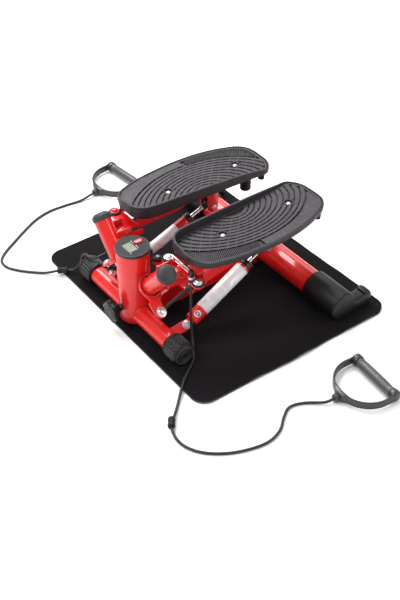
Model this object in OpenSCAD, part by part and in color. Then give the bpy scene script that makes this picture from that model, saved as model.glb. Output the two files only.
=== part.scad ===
// Twist stepper: a low exercise machine on a floor mat. Two pedal arms swing on
// inclined pivot tubes, an equaliser bar ties them together, two hydraulic
// cylinders damp them, and two elastic cords with D-handles clip to the arms.
// X runs across the machine, Y from front (-) to rear (+), Z up. The origin is
// the centre of the mat's underside. The +X side is the user's left.

/* [Floor mat] */
// Mat width across the machine
mat_w = 600; // [560:5:640]
// Mat depth from front to rear
mat_d = 500; // [490:5:520]
// Mat thickness
mat_t = 4; // [4:1:4]
// Mat corner radius
mat_r = 32; // [20:1:60]

/* [Frame] */
// Outer radius of the front cross tube
front_r = 20; // [19:1:21]
// Half length of the front cross tube
front_half = 150; // [146:1:152]
// Outer radius of the front end caps
front_cap_r = 26; // [26:1:26]
// Outer radius of the rear cross tube
rear_r = 29; // [28:1:30]
// Outer radius of the rear boots
boot_r = 34; // [34:1:34]
// Outer half length over the rear boots
rear_half = 279; // [270:1:284]
// Outer radius of the upright column
column_r = 35; // [34:1:36]
// Height of the column tube's top edge
column_top = 188; // [186:1:190]
// Width of the spine tube
spine_w = 44; // [40:1:46]
// Height of the spine tube
spine_h = 50; // [50:1:50]

/* [Arms] */
// Tilt of the pedal arms' pivot axes from upright, in degrees
tilt = 41; // [41:1:41]
// Outer radius of the pivot sleeve
sleeve_r = 19; // [19:0.5:19]
// Radius of the pivot shaft
shaft_r = 8; // [8:0.5:8]
// Running clearance between the shaft and its bushes
run = 0.05; // [0.03:0.01:0.08]
// Lever length from the pivot axis to the crank bolt
crank = 58; // [56:1:60]
// Thickness of the pressed arm channel
channel_t = 2.5; // [2:0.5:3]

/* [Pedals] */
// Height of the pedal's top rim
pedal_top = 212; // [210:1:214]
// Depth of the pedal moulding below its outer rim
pedal_h = 13; // [12:1:14]
// Thickness of the pedal's rim wall
pedal_wall = 6; // [5:0.5:7]

/* [Cylinders] */
// Outer radius of the left hydraulic cylinder
cyl_r = 15.5; // [14:0.5:15.5]
// Outer radius of the right hydraulic cylinder
cyl_r_right = 12.5; // [12:0.5:13]
// Radius of the piston rod
rod_r = 5; // [4:0.5:5]

/* [Cords] */
// Diameter of the elastic cord
cord_d = 6; // [6:0.5:6]
// Radius of the handle's grip
grip_r = 11.5; // [11:0.5:12]

/* [Hidden] */
$fn = 64;

red = [0.80, 0.07, 0.06];
black = [0.10, 0.10, 0.11];
grey = [0.30, 0.29, 0.31];
steel = [0.80, 0.80, 0.82];

front_y = -205; front_z = mat_t + front_cap_r;
rear_y = 149;   rear_z = mat_t + boot_r;
col_y = -200;
spine_z0 = 8;
knob_z = 48;
axis_top = [124, -198, 202];    // where the left pivot axis meets the sleeve's cap
sleeve_len = 98;                // sleeve's length below that point, from 4 down
channel_z0 = 161; channel_z1 = pedal_top - pedal_h;
channel_x0 = 82; channel_x1 = 152;
channel_y0 = -132; channel_y1 = 150;
post_y = -98;                   // equaliser bar's pivot
post_z = spine_z0 + spine_h;
bar_half = 60;
P0 = [115, -150, 32];           // cylinder's lower pivot, left side
Q0 = [99.5, 72, 130];           // cylinder's upper pivot, left side

function unit(v) = v / norm(v);
cu = unit(Q0 - P0);                                  // along the cylinder
cn0 = [0.60, -0.20, 0.78];
cn = unit(cn0 - (cn0 * cu) * cu);                    // lower pivot's axis
cm = cross(cu, cn);
cyl_len = norm(Q0 - P0);

// ---------- helpers ----------
module both() { children(); mirror([1, 0, 0]) children(); }
module right_side(on) { if (on) mirror([1, 0, 0]) children(); else children(); }
// Left pivot axis: local Z runs up the axis, 0 at axis_top
module on_axis() translate(axis_top) rotate([0, tilt, 0]) children();
// Left cylinder: local Z runs from the lower to the upper pivot, local X is the pivot
module on_cyl() multmatrix([[cn[0], cm[0], cu[0], P0[0]], [cn[1], cm[1], cu[1], P0[1]],
  [cn[2], cm[2], cu[2], P0[2]], [0, 0, 0, 1]]) children();
module cyl_x(r, x0, x1) translate([x0, 0, 0]) rotate([0, 90, 0]) cylinder(r = r, h = x1 - x0);
module cyl_y(r, y0, y1) translate([0, y0, 0]) rotate([-90, 0, 0]) cylinder(r = r, h = y1 - y0);
module cyl_z(r, z0, z1) translate([0, 0, z0]) cylinder(r = r, h = z1 - z0);
module ring_z(ro, ri, z0, z1) difference() { cyl_z(ro, z0, z1); cyl_z(ri, z0 - 1, z1 + 1); }
module box(x0, x1, y0, y1, z0, z1) translate([x0, y0, z0]) cube([x1 - x0, y1 - y0, z1 - z0]);
module rounded2d(w, d, r) union() {
  square([w - 2 * r, d], center = true);
  square([w, d - 2 * r], center = true);
  for (sx = [-1, 1], sy = [-1, 1]) translate([sx * (w / 2 - r), sy * (d / 2 - r)]) circle(r = r);
}

// ---------- base ----------
module floor_mat() color(black) linear_extrude(mat_t) rounded2d(mat_w, mat_d, mat_r);

module front_cross_tube() color(red) translate([0, front_y, front_z]) difference() {
  cyl_x(front_r, -front_half, front_half);
  cyl_x(front_r - 2.5, -front_half - 1, front_half + 1);
}

// Ribbed plastic caps that are the machine's front feet
module front_end_caps() color(black) both() translate([0, front_y, front_z]) difference() {
  union() {
    cyl_x(front_cap_r, 140, 178);
    translate([178, 0, 0]) rotate([0, 90, 0]) rotate_extrude() polygon([[0, 0], [front_cap_r, 0],
      [front_cap_r, 3], [front_cap_r - 4, 8], [0, 8]]);
  }
  cyl_x(front_r, 139, front_half);
  translate([144, 0, 0]) cyl_z(2, 0, 40);
}
module cap_screws() color(steel) both() translate([144, front_y, front_z]) {
  cyl_z(2, front_r, front_cap_r - 1);
  cyl_z(3.6, front_cap_r, front_cap_r + 2);
  cyl_z(2, front_cap_r - 1, front_cap_r);
}

module rear_cross_tube() color(red) translate([0, rear_y, rear_z]) difference() {
  cyl_x(rear_r, -205, 205);
  cyl_x(rear_r - 2.5, -206, 206);
}

// Boots over the rear tube, each with a short foot that reaches rearward
module rear_boots() color(black) both() translate([0, rear_y, rear_z]) difference() {
  union() {
    cyl_x(boot_r, 182, rear_half - 6);
    translate([rear_half - 6, 0, 0]) rotate([0, 90, 0]) rotate_extrude() polygon([[0, 0], [boot_r, 0],
      [boot_r - 1.5, 3.5], [boot_r - 5, 6], [0, 6]]);
    box(242, rear_half - 5, 0, 84, mat_t - rear_z, -4);
    box(238, rear_half - 1, 62, 86, mat_t - rear_z, 2);
  }
  cyl_x(rear_r, 181, 205);
}

module spine_tube() color(red) difference() {
  box(-spine_w / 2, spine_w / 2, col_y + 10, rear_y, spine_z0, post_z);
  box(2.5 - spine_w / 2, spine_w / 2 - 2.5, col_y, rear_y + 1, spine_z0 + 2.5, post_z - 2.5);
  translate([0, col_y, 0]) cyl_z(column_r, 0, 100);
  translate([0, rear_y, rear_z]) cyl_x(rear_r, -60, 60);
  translate([0, post_y, 0]) cyl_z(6, post_z - 10, post_z + 1);
}

module column_tube() color(red) difference() {
  translate([0, col_y, 0]) cyl_z(column_r, 9, column_top);
  translate([0, col_y, 0]) cyl_z(column_r - 2.5, 11.5, column_top + 1);
  translate([0, front_y, front_z]) cyl_x(front_r, -60, 60);
  both() on_axis() cyl_z(shaft_r, -151, -120);
  translate([0, col_y, knob_z]) cyl_y(8, -column_r - 5, -20);
}

// Inclined steel shafts, welded into the column, with a thrust collar below the crank
module pivot_shafts() color(steel) both() on_axis() {
  cyl_z(shaft_r, -151, -22);
  cyl_z(5, -22, -14.5);
  difference() { cyl_z(13, -113, -108); cyl_z(shaft_r, -114, -107); }
}
module shaft_nuts() color(steel) both() on_axis() {
  ring_z(14, 8, -27.6, -25.6);
  ring_z(12, 5, -22, -16);
}

// ---------- display, button and knob on the column ----------
dz = 194;
module display_housing() color(grey) translate([0, col_y, 0]) difference() {
  union() {
    translate([0, 0, column_top]) rotate_extrude() polygon([[0, 0], [36, 0], [36, 4.6], [34.6, 6], [0, 6]]);
    cyl_z(column_r - 2.5, 170, column_top);
  }
  cyl_z(column_r - 5, 160, dz - 3);
  translate([0, -5.5, 0]) box(-15, 15, -10, 10, dz - 2, dz + 1);
  translate([0, -5.5, 0]) box(-12, 12, -7, 7, dz - 4, dz + 1);
  translate([-5, 18.5, dz - 4]) linear_extrude(6) rounded2d(12.6, 19.6, 5.3);
}
module display_window() color([0.55, 0.60, 0.52]) translate([0, col_y - 5.5, 0])
  box(-15, 15, -10, 10, dz - 2, dz - 0.4);
module display_board() color([0.1, 0.4, 0.2]) translate([0, col_y, 0]) difference() {
  union() { cyl_z(29.5, 181, 182.6); translate([0, -5.5, 0]) box(-14, 14, -9, 9, 182.6, dz - 3); }
  translate([-5, 18.5, 0]) cyl_z(1.6, 180, 183);
}
module display_button() color(red) translate([-5, col_y + 18.5, 0]) {
  translate([0, 0, dz - 3.2]) linear_extrude(5.7) rounded2d(12, 19, 5);
  translate([0, 0, dz - 4.6]) linear_extrude(1.4) rounded2d(13, 20.4, 5.7);
  cyl_z(1.5, dz - 11, dz - 4.6);
}
module button_spring() color(steel) translate([-5, col_y + 18.5, 0]) ring_z(3.4, 2.4, 182.6, dz - 4.6);
module battery_cell() color(steel) translate([0, col_y + 4, 0]) cyl_z(10, 176, 181);

module pedal_sensor() color(black) translate([0, col_y, 0]) difference() {
  box(-9, 9, column_r - 1.5, column_r + 9, 150, 172);
  cyl_z(column_r, 140, 180);
}
module knob_insert() color(steel) translate([0, col_y, knob_z]) difference() {
  cyl_y(8, -column_r - 4, -column_r + 6);
  cyl_y(5 + run, -column_r - 5, -column_r + 7);
}
// Lobed hand knob on its screw
module tension_knob() color(black) translate([0, col_y, knob_z]) {
  cyl_y(5, -45, -22);
  cyl_y(9, -54, -41);
  cyl_y(22, -66, -53);
  for (i = [0:5]) rotate([0, 11 + i * 60, 0]) translate([19.5, 0, 0]) cyl_y(7, -65, -54);
}

// ---------- hydraulic cylinder supports ----------
module lug_plate(x0, x1) translate([x0, 0, 0]) rotate([0, 90, 0]) linear_extrude(x1 - x0) union() {
  circle(r = 11);
  translate([0, 22, 0]) square([22, 46], center = true);
}
module cylinder_lugs() color(red) both() difference() {
  on_cyl() rotate([-106, 0, 0]) { lug_plate(6.5, 10.5); lug_plate(-10.5, -6.5); }
  on_cyl() cyl_x(5, -20, 20);
  translate([0, front_y, front_z]) cyl_x(front_r, 60, 149);
  box(60, 149, -250, -200, 0, 60);
}
module cylinder_lower_bolts() color(steel) both() on_cyl() {
  cyl_x(5, -16, 10.5);
  cyl_x(8.5, 10.5, 15);
  difference() { cyl_x(8, -16, -10.5); cyl_x(5, -17, -10); }
}

// ---------- equaliser that ties the two arms ----------
module equaliser_post() color(steel) translate([0, post_y, 0]) {
  cyl_z(6, post_z - 9, post_z + 20);
  ring_z(12, 6, post_z, post_z + 3.7);
  ring_z(11, 6, post_z + 12.3, post_z + 19);
}
bar_z = post_z + 4;
module equaliser_bar() color(red) translate([0, post_y, bar_z]) difference() {
  union() {
    linear_extrude(8) union() {
      square([2 * bar_half, 24], center = true);
      translate([bar_half, 0]) circle(r = 12);
      translate([-bar_half, 0]) circle(r = 12);
    }
    for (s = [-1, 1]) translate([s * bar_half, 0, 0]) { cyl_z(4, 8, 20.4); }
  }
  cyl_z(6 + run, -1, 9);
}

// Crank bolt's local place on the inclined axis, and the link rod's two ends
eye_s = -115.5;
ca = cos(tilt); sa = sin(tilt);
link_a = axis_top + eye_s * [sa, 0, ca] + crank * [ca, 0, -sa] + [0, -4, 0];
link_b = [bar_half, post_y, bar_z + 12.4];
link_u = unit(link_b - link_a);
link_len = norm(link_b - link_a);
module link_rod() color(black) {
  difference() {
    union() {
      translate(link_a) rotate([0, tilt, 0]) cyl_z(10, -4, 4);
      translate(link_b) cyl_z(9, -4, 4);
      translate(link_a) multmatrix(link_frame()) cyl_z(4, 8, link_len - 7);
    }
    translate(link_a) rotate([0, tilt, 0]) cyl_z(6.2, -5, 5);
    translate(link_b) cyl_z(4 + run, -5, 5);
  }
}
link_x = unit(cross([0, 0, 1], link_u));
link_y = cross(link_u, link_x);
function link_frame() = [[link_x[0], link_y[0], link_u[0], 0], [link_x[1], link_y[1], link_u[1], 0],
  [link_x[2], link_y[2], link_u[2], 0], [0, 0, 0, 1]];
module link_rod_left() link_rod();
module link_rod_right() mirror([1, 0, 0]) link_rod();

// ---------- pedal arms ----------
module pivot_sleeve(r) color(red) right_side(r) on_axis() ring_z(sleeve_r, sleeve_r - 3, -sleeve_len - 4, -4);
module sleeve_cap(r) color(grey) right_side(r) on_axis() difference() {
  rotate_extrude() polygon([[0, -4], [0, 3.5], [8, 3], [14, 1.6], [18, -1], [20.5, -4.5], [20.5, -14], [sleeve_r, -14], [sleeve_r, -4]]);
}
module pivot_bushes(r) color([0.9, 0.9, 0.85]) right_side(r) on_axis() {
  ring_z(sleeve_r - 3, shaft_r + run, -46, -28);
  ring_z(sleeve_r - 3, shaft_r + run, -102, -84);
}
// The crank bolt that drives the link rod, and the bolt through the cylinder's upper eye
module arm_bolts(r) color(steel) right_side(r) {
  on_axis() translate([crank, -4, 0]) {
    cyl_z(4, -128, -102);
    cyl_z(8.5, -102, -97);
    ring_z(7.5, 4, -128, -123.5);
  }
  translate([0, 72, 130]) {
    cyl_x(4, 76, 117);
    cyl_x(8, 112.5, 117);
    difference() { cyl_x(7.5, 76, 80.5); cyl_x(4, 75, 81); }
  }
}

// Plan of the channel: d is the inset of its sides, e the overrun at its open ends
module channel_2d(d, e) polygon([[channel_x0 + d, channel_y0 - e], [channel_x1 - d, channel_y0 - e], [138 - d, -40],
  [130 - d, 60], [124 - d, channel_y1 + e], [channel_x0 + d, channel_y1 + e]]);
// Pressed channel, front plate, gussets, crank plate, hook ear and the cylinder's
// upper bracket, welded into one frame round the sleeve
module arm_frame(r) color(red) right_side(r) difference() {
  union() {
    difference() {
      translate([0, 0, channel_z0]) linear_extrude(channel_z1 - channel_z0) channel_2d(0, 0);
      translate([0, 0, channel_z0 - 1]) linear_extrude(channel_z1 - channel_t - channel_z0 + 1) channel_2d(channel_t, 1);
      // its sides get shallower behind the front screw
      translate([70, 0, 0]) rotate([90, 0, 90]) linear_extrude(90) polygon([[-22, 160], [60, 182], [152, 182], [152, 160]]);
    }
    // front plate with a notch that the cord hangs through
    box(r ? 84 : 38, 166, -158, channel_y0 + 4, 163, 167);
    box(70, 112, -186, -158, 163, 167);
    // gussets from the sleeve to the channel
    for (x = [70, 108]) {
      box(x, x + 4, -190, -154, 150, 182);
      box(x, x + 4, -155, channel_y0 + 6, 150, 165);
    }
    // crank plate and its pressed rim
    on_axis() {
      cyl_z(24, -107.5, -102);
      translate([0, 0, -107.5]) linear_extrude(5.5) union() {
        translate([crank, -4]) circle(r = 12);
        polygon([[6, -23], [crank, -16], [crank, 8], [6, 23]]);
      }
      ring_z(24, 21, -102, -96);
    }
    // hook ear: on top of the left arm's plate, at the front edge of the right one's
    if (r) { box(146, 150, -168, -158.3, 159, 171); box(146, 150, -160, -157, 163, 167); }
    else box(68.5, 72.5, -151, -139, 167, 180);
    // upper bracket of the cylinder
    for (x = [[80.5, 84.5], [108.5, 112.5]]) {
      box(x[0], x[1], 58, 86, 130, channel_z1 - channel_t);
      translate([0, 72, 130]) cyl_x(14, x[0], x[1]);
    }
  }
  on_axis() cyl_z(sleeve_r, -102, 10);
  on_axis() cyl_z(shaft_r + 1, -110, -100);
  on_axis() translate([crank, -4, 0]) cyl_z(4, -110, -100);
  if (r) translate([0, -162.5, 164.7]) cyl_x(2.8, 145, 151);
  else translate([0, -145, 175.5]) cyl_x(2, 67, 73.5);
  translate([0, 72, 130]) cyl_x(4, 79, 114);
  if (r) translate([128, -146, 162]) cylinder(r = 6, h = 6);
  else box(115, 141, -160, -138, 162, 168);
  for (p = [[50, -145], [152, -145]]) translate([p[0], p[1], 0]) cyl_z(4, 162, 168);
  for (p = [[96, -40], [92, 141]]) translate([p[0], p[1], 0]) cyl_z(3, 180, 202);
}

// Outline of the pedal from above, before its corners are rounded
pedal_pts = [[68, -141], [84, -143], [112, -144], [138, -139], [152, -122], [166, -78], [175, -30], [177, 20], [175, 80],
  [166, 130], [152, 170], [130, 196], [100, 205], [68, 203], [46, 192], [38, 172], [42, 100], [45, 14], [49, -60], [53, -100], [58, -124]];
module pedal_2d(d) offset(r = 6 - d) polygon(pedal_pts);
// Moulded tread with a side wall that rises towards its inner front corner
module pedal(r) color(grey) right_side(r) difference() {
  union() {
    difference() {
      translate([0, 0, channel_z1]) linear_extrude(pedal_h) pedal_2d(0);
      translate([0, 0, pedal_top - 4]) linear_extrude(5) pedal_2d(pedal_wall - 1);
      translate([0, 0, channel_z1 - 1]) linear_extrude(pedal_h - 8) difference() { pedal_2d(4.5); translate([82, -140]) square([70, 400]); }
    }
    intersection() {
      translate([0, 0, pedal_top - 5]) linear_extrude(40) difference() { pedal_2d(0); pedal_2d(4); }
      translate([39, 14, pedal_top + 13.5]) rotate([-3.2, 9.6, 0]) translate([-200, -400, -80]) cube([400, 800, 80]);
    }
    for (p = [[96, -40], [92, 141]]) translate([p[0], p[1], channel_z1]) cylinder(r = 12, h = pedal_h - 4);
    translate([79, 163, channel_z1]) cylinder(r = 13, h = pedal_h - 5);
    for (x = [[60, 191], [130, 190]]) translate([x[0], x[1], 168]) cylinder(r1 = 6.5, r2 = 9.5, h = pedal_top - 174);
  }
  for (p = [[96, -40], [92, 141]]) translate([p[0], p[1], 0]) { cyl_z(3, 180, 240); cyl_z(8, pedal_top - 7, 240); }
  translate([79, 163, 0]) cyl_z(4, 180, channel_z1 + 4);
}
module pedal_screws(r) color(steel) right_side(r) for (p = [[96, -40], [92, 141]]) translate([p[0], p[1], 0]) {
  cyl_z(3, channel_z1 - 9, pedal_top - 7);
  cyl_z(5.5, pedal_top - 7, pedal_top - 3.6);
  ring_z(5.5, 3, channel_z1 - 7.5, channel_z1 - channel_t);
}
module rear_bumper(r) color(black) right_side(r) translate([79, 163, 0]) {
  cyl_z(12.8, 142, channel_z1);
  cyl_z(4, channel_z1, channel_z1 + 4);
}
module front_pads(r) color(black) right_side(r) for (x = r ? [152] : [50, 152]) translate([x, -145, 0]) {
  cyl_z(13, 167, 171);
  cyl_z(8.5, 171, 175.5);
  cyl_z(4, 160, 171);
  cyl_z(7.5, 157, 163);
}
// Snap hook through the ear, with the ferrule that ends the elastic cord. The left
// one lies across the arm's front plate, the right one hangs ahead of it.
hook_o = [148, -164, 161];
hook_z = unit([0.02, -0.12, -0.99]);
hook_x = unit([1, 0, 0] - hook_z[0] * hook_z);
hook_y = cross(hook_z, hook_x);
module snap_hook(r) color(steel) {
  if (r) mirror([1, 0, 0]) multmatrix([[hook_x[0], hook_y[0], hook_z[0], hook_o[0]], [hook_x[1], hook_y[1], hook_z[1], hook_o[1]],
      [hook_x[2], hook_y[2], hook_z[2], hook_o[2]], [0, 0, 0, 1]]) {
    for (x = [-4, 4]) translate([x, 0, 0]) cyl_z(1.5, 0, 64);
    rotate([90, 0, 0]) rotate_extrude(angle = 360) translate([4, 0]) circle(r = 1.5);
    cyl_z(6, 62, 85);
  }
  else translate([0, -145, 0]) {
    for (z = [175.5, 183.5]) translate([62, 0, z]) cyl_x(1.5, 0, 62);
    translate([62, 0, 179.5]) rotate([90, 0, 0]) rotate_extrude(angle = 360) translate([4, 0]) circle(r = 1.5);
    translate([128, 0, 0]) cyl_z(6, 164, 187);
  }
}

// ---------- hydraulic cylinders ----------
bl = 178;  // barrel's end, from the lower pivot
function cr(r) = r ? cyl_r_right : cyl_r;
module cyl_barrel(r) color(red) right_side(r) on_cyl() difference() {
  union() {
    cyl_z(cr(r), 15, bl);
    cyl_x(11, -6, 6);
    translate([-6, -8, 0]) cube([12, 16, 18]);
  }
  cyl_z(cr(r) - 2.5, 23, bl + 1);
  cyl_x(5 + run, -7, 7);
}
module cylinder_gland(r) color(black) right_side(r) on_cyl() difference() {
  union() { cyl_z(cr(r) + 1, bl, bl + 13); cyl_z(cr(r) - 2.5, bl - 10, bl); }
  cyl_z(rod_r + run, bl - 11, bl + 14);
}
module piston_rod(r) color(steel) right_side(r) on_cyl() {
  cyl_z(rod_r, 72, cyl_len - 11);
  cyl_z(cr(r) - 2.5 - run, 62, 74);
}
module rod_end(r) color(black) right_side(r) on_cyl() difference() {
  union() {
    multmatrix(eye_frame()) cyl_x(12, -6, 6);
    cyl_z(7.5, cyl_len - 16, cyl_len - 8);
  }
  multmatrix(eye_frame()) cyl_x(6.6, -20, 20);
  cyl_z(rod_r, cyl_len - 20, cyl_len - 11);
}
// the upper eye's axis lies along X, seen from the cylinder's own frame
ex = [cn[0], cm[0], cu[0]]; ey = [cn[1], cm[1], cu[1]]; ez = [cn[2], cm[2], cu[2]];
function eye_frame() = [[ex[0], ey[0], ez[0], 0], [ex[1], ey[1], ez[1], 0], [ex[2], ey[2], ez[2], cyl_len], [0, 0, 0, 1]];

// ---------- D-handles ----------
hy = 97;
module handle_place(r) right_side(r) translate([443, -22, 0]) rotate([0, 0, -5.5]) children();
module handle_frame() {
  difference() {
    union() {
      difference() {
        translate([0, 0, 3]) linear_extrude(18) difference() {
          union() { translate([0, 72]) circle(r = 66, $fn = 96); translate([-66, 72]) square([132, 30]); }
          union() { translate([0, 72]) circle(r = 61.5, $fn = 96); translate([-61.5, 72]) square([123, 40]); }
        }
        box(-80, 80, hy + 4, 150, 0, 30);
      }
      translate([0, 0, 3]) linear_extrude(18) polygon([[-26, 14], [-12, 2], [12, 2], [26, 14], [14, 17], [-14, 17]]);
      translate([0, hy, 13]) { cyl_x(13, 51, 66); cyl_x(13, -66, -51); }
      translate([0, 0, 9]) cyl_y(8.5, -8, 8);
    }
    translate([0, hy, 13]) cyl_x(4, -60, 60);
    box(-100, 100, -100, 200, -20, 0);
    translate([0, 0, 9]) cyl_y(cord_d / 2 + 0.2, -9, -2);
  }
}
module handle_frames() color(grey) { handle_place(false) handle_frame(); handle_place(true) handle_frame(); }
module handle_cores() color(black) for (r = [false, true]) handle_place(r) translate([0, hy, 13]) cyl_x(4, -60, 60);
module handle_grip(r) color(grey) handle_place(r) translate([0, hy, 13]) difference() {
  cyl_x(grip_r, -50.6, 50.6);
  cyl_x(4 + run, -51, 51);
}

// ---------- elastic cords ----------
// Route points of the left cord, from the ferrule to the handle
route_left = [[128, -146, 150], [130, -148, 110], [134, -151, 70], [142, -155, 34], [158, -164, 12], [184, -182, 7.2],
  [203, -207, 7.2], [222, -234, 7.4], [242, -256, 7.4], [270, -286, 4], [290, -308, 7], [300, -321, 8], [326, -334, 5], [356, -334, 3.2],
  [386, -320, 3.2], [413, -292, 3.2], [434, -253, 3.2], [446, -205, 3.2], [438, -166, 3.2], [416, -136, 3.2], [403, -110, 3.2],
  [412, -80, 3.2], [436, -50, 6], [442, -34, 9], [443, -25, 9]];
// Route points of the right cord, on the other side of the machine
route_right = [[-154, -192, 63], [-160, -203, 62], [-170, -208, 61], [-182, -209, 61], [-192, -212, 53],
  [-196, -218, 32], [-205, -230, 13], [-214, -243, 12], [-226, -260, 11], [-243, -282, 5], [-266, -306, 3.2], [-292, -329, 3.2],
  [-318, -344, 3.2], [-346, -342, 3.2], [-368, -320, 3.2], [-390, -285, 3.2], [-412, -248, 3.2], [-436, -202, 3.2],
  [-448, -156, 3.2], [-446, -110, 3.2], [-440, -70, 4], [-441, -40, 8.4], [-443, -25, 9]];
function spline(p, i, t) = let (a = p[max(i - 1, 0)], b = p[i], c = p[i + 1], d = p[min(i + 2, len(p) - 1)])
  0.5 * (2 * b + (c - a) * t + (2 * a - 5 * b + 4 * c - d) * t * t + (3 * b - a - 3 * c + d) * t * t * t);
function route(p) = concat([for (i = [0:len(p) - 2]) for (t = i % 3 == 2 ? [0] : [0, 0.5]) spline(p, i, t)], [p[len(p) - 1]]);
function tangent(q, i) = unit(q[min(i + 1, len(q) - 1)] - q[max(i - 1, 0)]);
module tube_along(q, r, ref, n = 8) {
  rings = [for (i = [0:len(q) - 1]) let (t = tangent(q, i), u = unit(cross(t, ref)), v = cross(t, u))
    for (k = [0:n - 1]) q[i] + r * (cos(k * 360 / n) * u + sin(k * 360 / n) * v)];
  m = len(q);
  polyhedron(points = rings, faces = concat(
    [[for (k = [0:n - 1]) n - 1 - k]],
    [for (i = [0:m - 2]) for (k = [0:n - 1]) let (a = i * n + k, b = i * n + (k + 1) % n) each [[a, b, b + n], [a, b + n, a + n]]],
    [[for (k = [0:n - 1]) (m - 1) * n + k]]));
}
module elastic_cord_left() color(black) tube_along(route(route_left), cord_d / 2, [0.5, -0.5, 0.7]);
module elastic_cord_right() color(black) tube_along(route(route_right), cord_d / 2, [-0.5, -0.5, 0.7]);
module cord_stoppers() color(black) {
  translate([300, -321, 8]) rotate([0, 0, -37]) cyl_x(7.5, -12, 12);
  translate([-220, -252, 11.8]) rotate([0, 0, 55]) cyl_x(7.5, -12, 12);
}

module pivot_sleeve_left() pivot_sleeve(false);
module pivot_sleeve_right() pivot_sleeve(true);
module sleeve_cap_left() sleeve_cap(false);
module sleeve_cap_right() sleeve_cap(true);
module pivot_bushes_left() pivot_bushes(false);
module pivot_bushes_right() pivot_bushes(true);
module arm_bolts_left() arm_bolts(false);
module arm_bolts_right() arm_bolts(true);
module arm_frame_left() arm_frame(false);
module arm_frame_right() arm_frame(true);
module pedal_left() pedal(false);
module pedal_right() pedal(true);
module pedal_screws_left() pedal_screws(false);
module pedal_screws_right() pedal_screws(true);
module rear_bumper_left() rear_bumper(false);
module rear_bumper_right() rear_bumper(true);
module front_pads_left() front_pads(false);
module front_pads_right() front_pads(true);
module snap_hook_left() snap_hook(false);
module snap_hook_right() snap_hook(true);
module cylinder_left() cyl_barrel(false);
module cylinder_right() cyl_barrel(true);
module cylinder_gland_left() cylinder_gland(false);
module cylinder_gland_right() cylinder_gland(true);
module piston_rod_left() piston_rod(false);
module piston_rod_right() piston_rod(true);
module rod_end_left() rod_end(false);
module rod_end_right() rod_end(true);
module handle_grip_left() handle_grip(false);
module handle_grip_right() handle_grip(true);

floor_mat();
front_cross_tube();
front_end_caps();
cap_screws();
rear_cross_tube();
rear_boots();
spine_tube();
column_tube();
pivot_shafts();
shaft_nuts();
display_housing();
display_window();
display_board();
display_button();
button_spring();
battery_cell();
pedal_sensor();
knob_insert();
tension_knob();
cylinder_lugs();
cylinder_lower_bolts();
equaliser_post();
equaliser_bar();
link_rod_left();
link_rod_right();
pivot_sleeve_left();
pivot_sleeve_right();
sleeve_cap_left();
sleeve_cap_right();
pivot_bushes_left();
pivot_bushes_right();
arm_bolts_left();
arm_bolts_right();
arm_frame_left();
arm_frame_right();
pedal_left();
pedal_right();
pedal_screws_left();
pedal_screws_right();
rear_bumper_left();
rear_bumper_right();
front_pads_left();
front_pads_right();
snap_hook_left();
snap_hook_right();
cylinder_left();
cylinder_right();
cylinder_gland_left();
cylinder_gland_right();
piston_rod_left();
piston_rod_right();
rod_end_left();
rod_end_right();
handle_frames();
handle_cores();
handle_grip_left();
handle_grip_right();
elastic_cord_left();
elastic_cord_right();
cord_stoppers();
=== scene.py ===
import bpy, bmesh, math, random
import numpy as np
from mathutils import Vector, Matrix


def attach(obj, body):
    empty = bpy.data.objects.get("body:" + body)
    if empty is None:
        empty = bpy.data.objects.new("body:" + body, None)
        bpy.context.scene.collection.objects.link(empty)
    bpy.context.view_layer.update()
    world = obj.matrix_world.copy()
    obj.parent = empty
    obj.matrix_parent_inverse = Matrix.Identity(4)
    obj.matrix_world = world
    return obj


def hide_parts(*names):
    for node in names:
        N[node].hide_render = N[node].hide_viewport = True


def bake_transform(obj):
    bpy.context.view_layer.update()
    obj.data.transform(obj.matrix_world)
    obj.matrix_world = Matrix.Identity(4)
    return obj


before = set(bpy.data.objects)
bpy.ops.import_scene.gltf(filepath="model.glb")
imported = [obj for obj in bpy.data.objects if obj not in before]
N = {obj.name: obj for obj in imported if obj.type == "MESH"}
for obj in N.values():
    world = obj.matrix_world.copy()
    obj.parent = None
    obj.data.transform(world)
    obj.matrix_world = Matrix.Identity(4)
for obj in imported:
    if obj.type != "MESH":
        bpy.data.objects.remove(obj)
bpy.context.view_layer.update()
MM = 0.001
rnd = random.Random(7)
scene = bpy.context.scene

# ------------------------------------------------------------------ camera
cam_data = bpy.data.cameras.new("camera")
cam = bpy.data.objects.new("camera", cam_data)
scene.collection.objects.link(cam)
cam_data.sensor_width = 36
cam_data.lens = 57.85
cam_data.clip_start = 0.05
cam_data.clip_end = 50
az, el = math.radians(53), math.radians(41.09)
back = Vector((math.sin(az) * math.cos(el), -math.cos(az) * math.cos(el), math.sin(el)))
cam.location = (1.325, -1.025, 1.404)
cam.rotation_mode = "QUATERNION"
cam.rotation_quaternion = (-back).to_track_quat("-Z", "Y")
scene.camera = cam
scene.view_settings.view_transform = "Standard"
scene.view_settings.look = "None"
scene.view_settings.exposure = 0.12
scene.view_settings.gamma = 1.0


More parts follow.
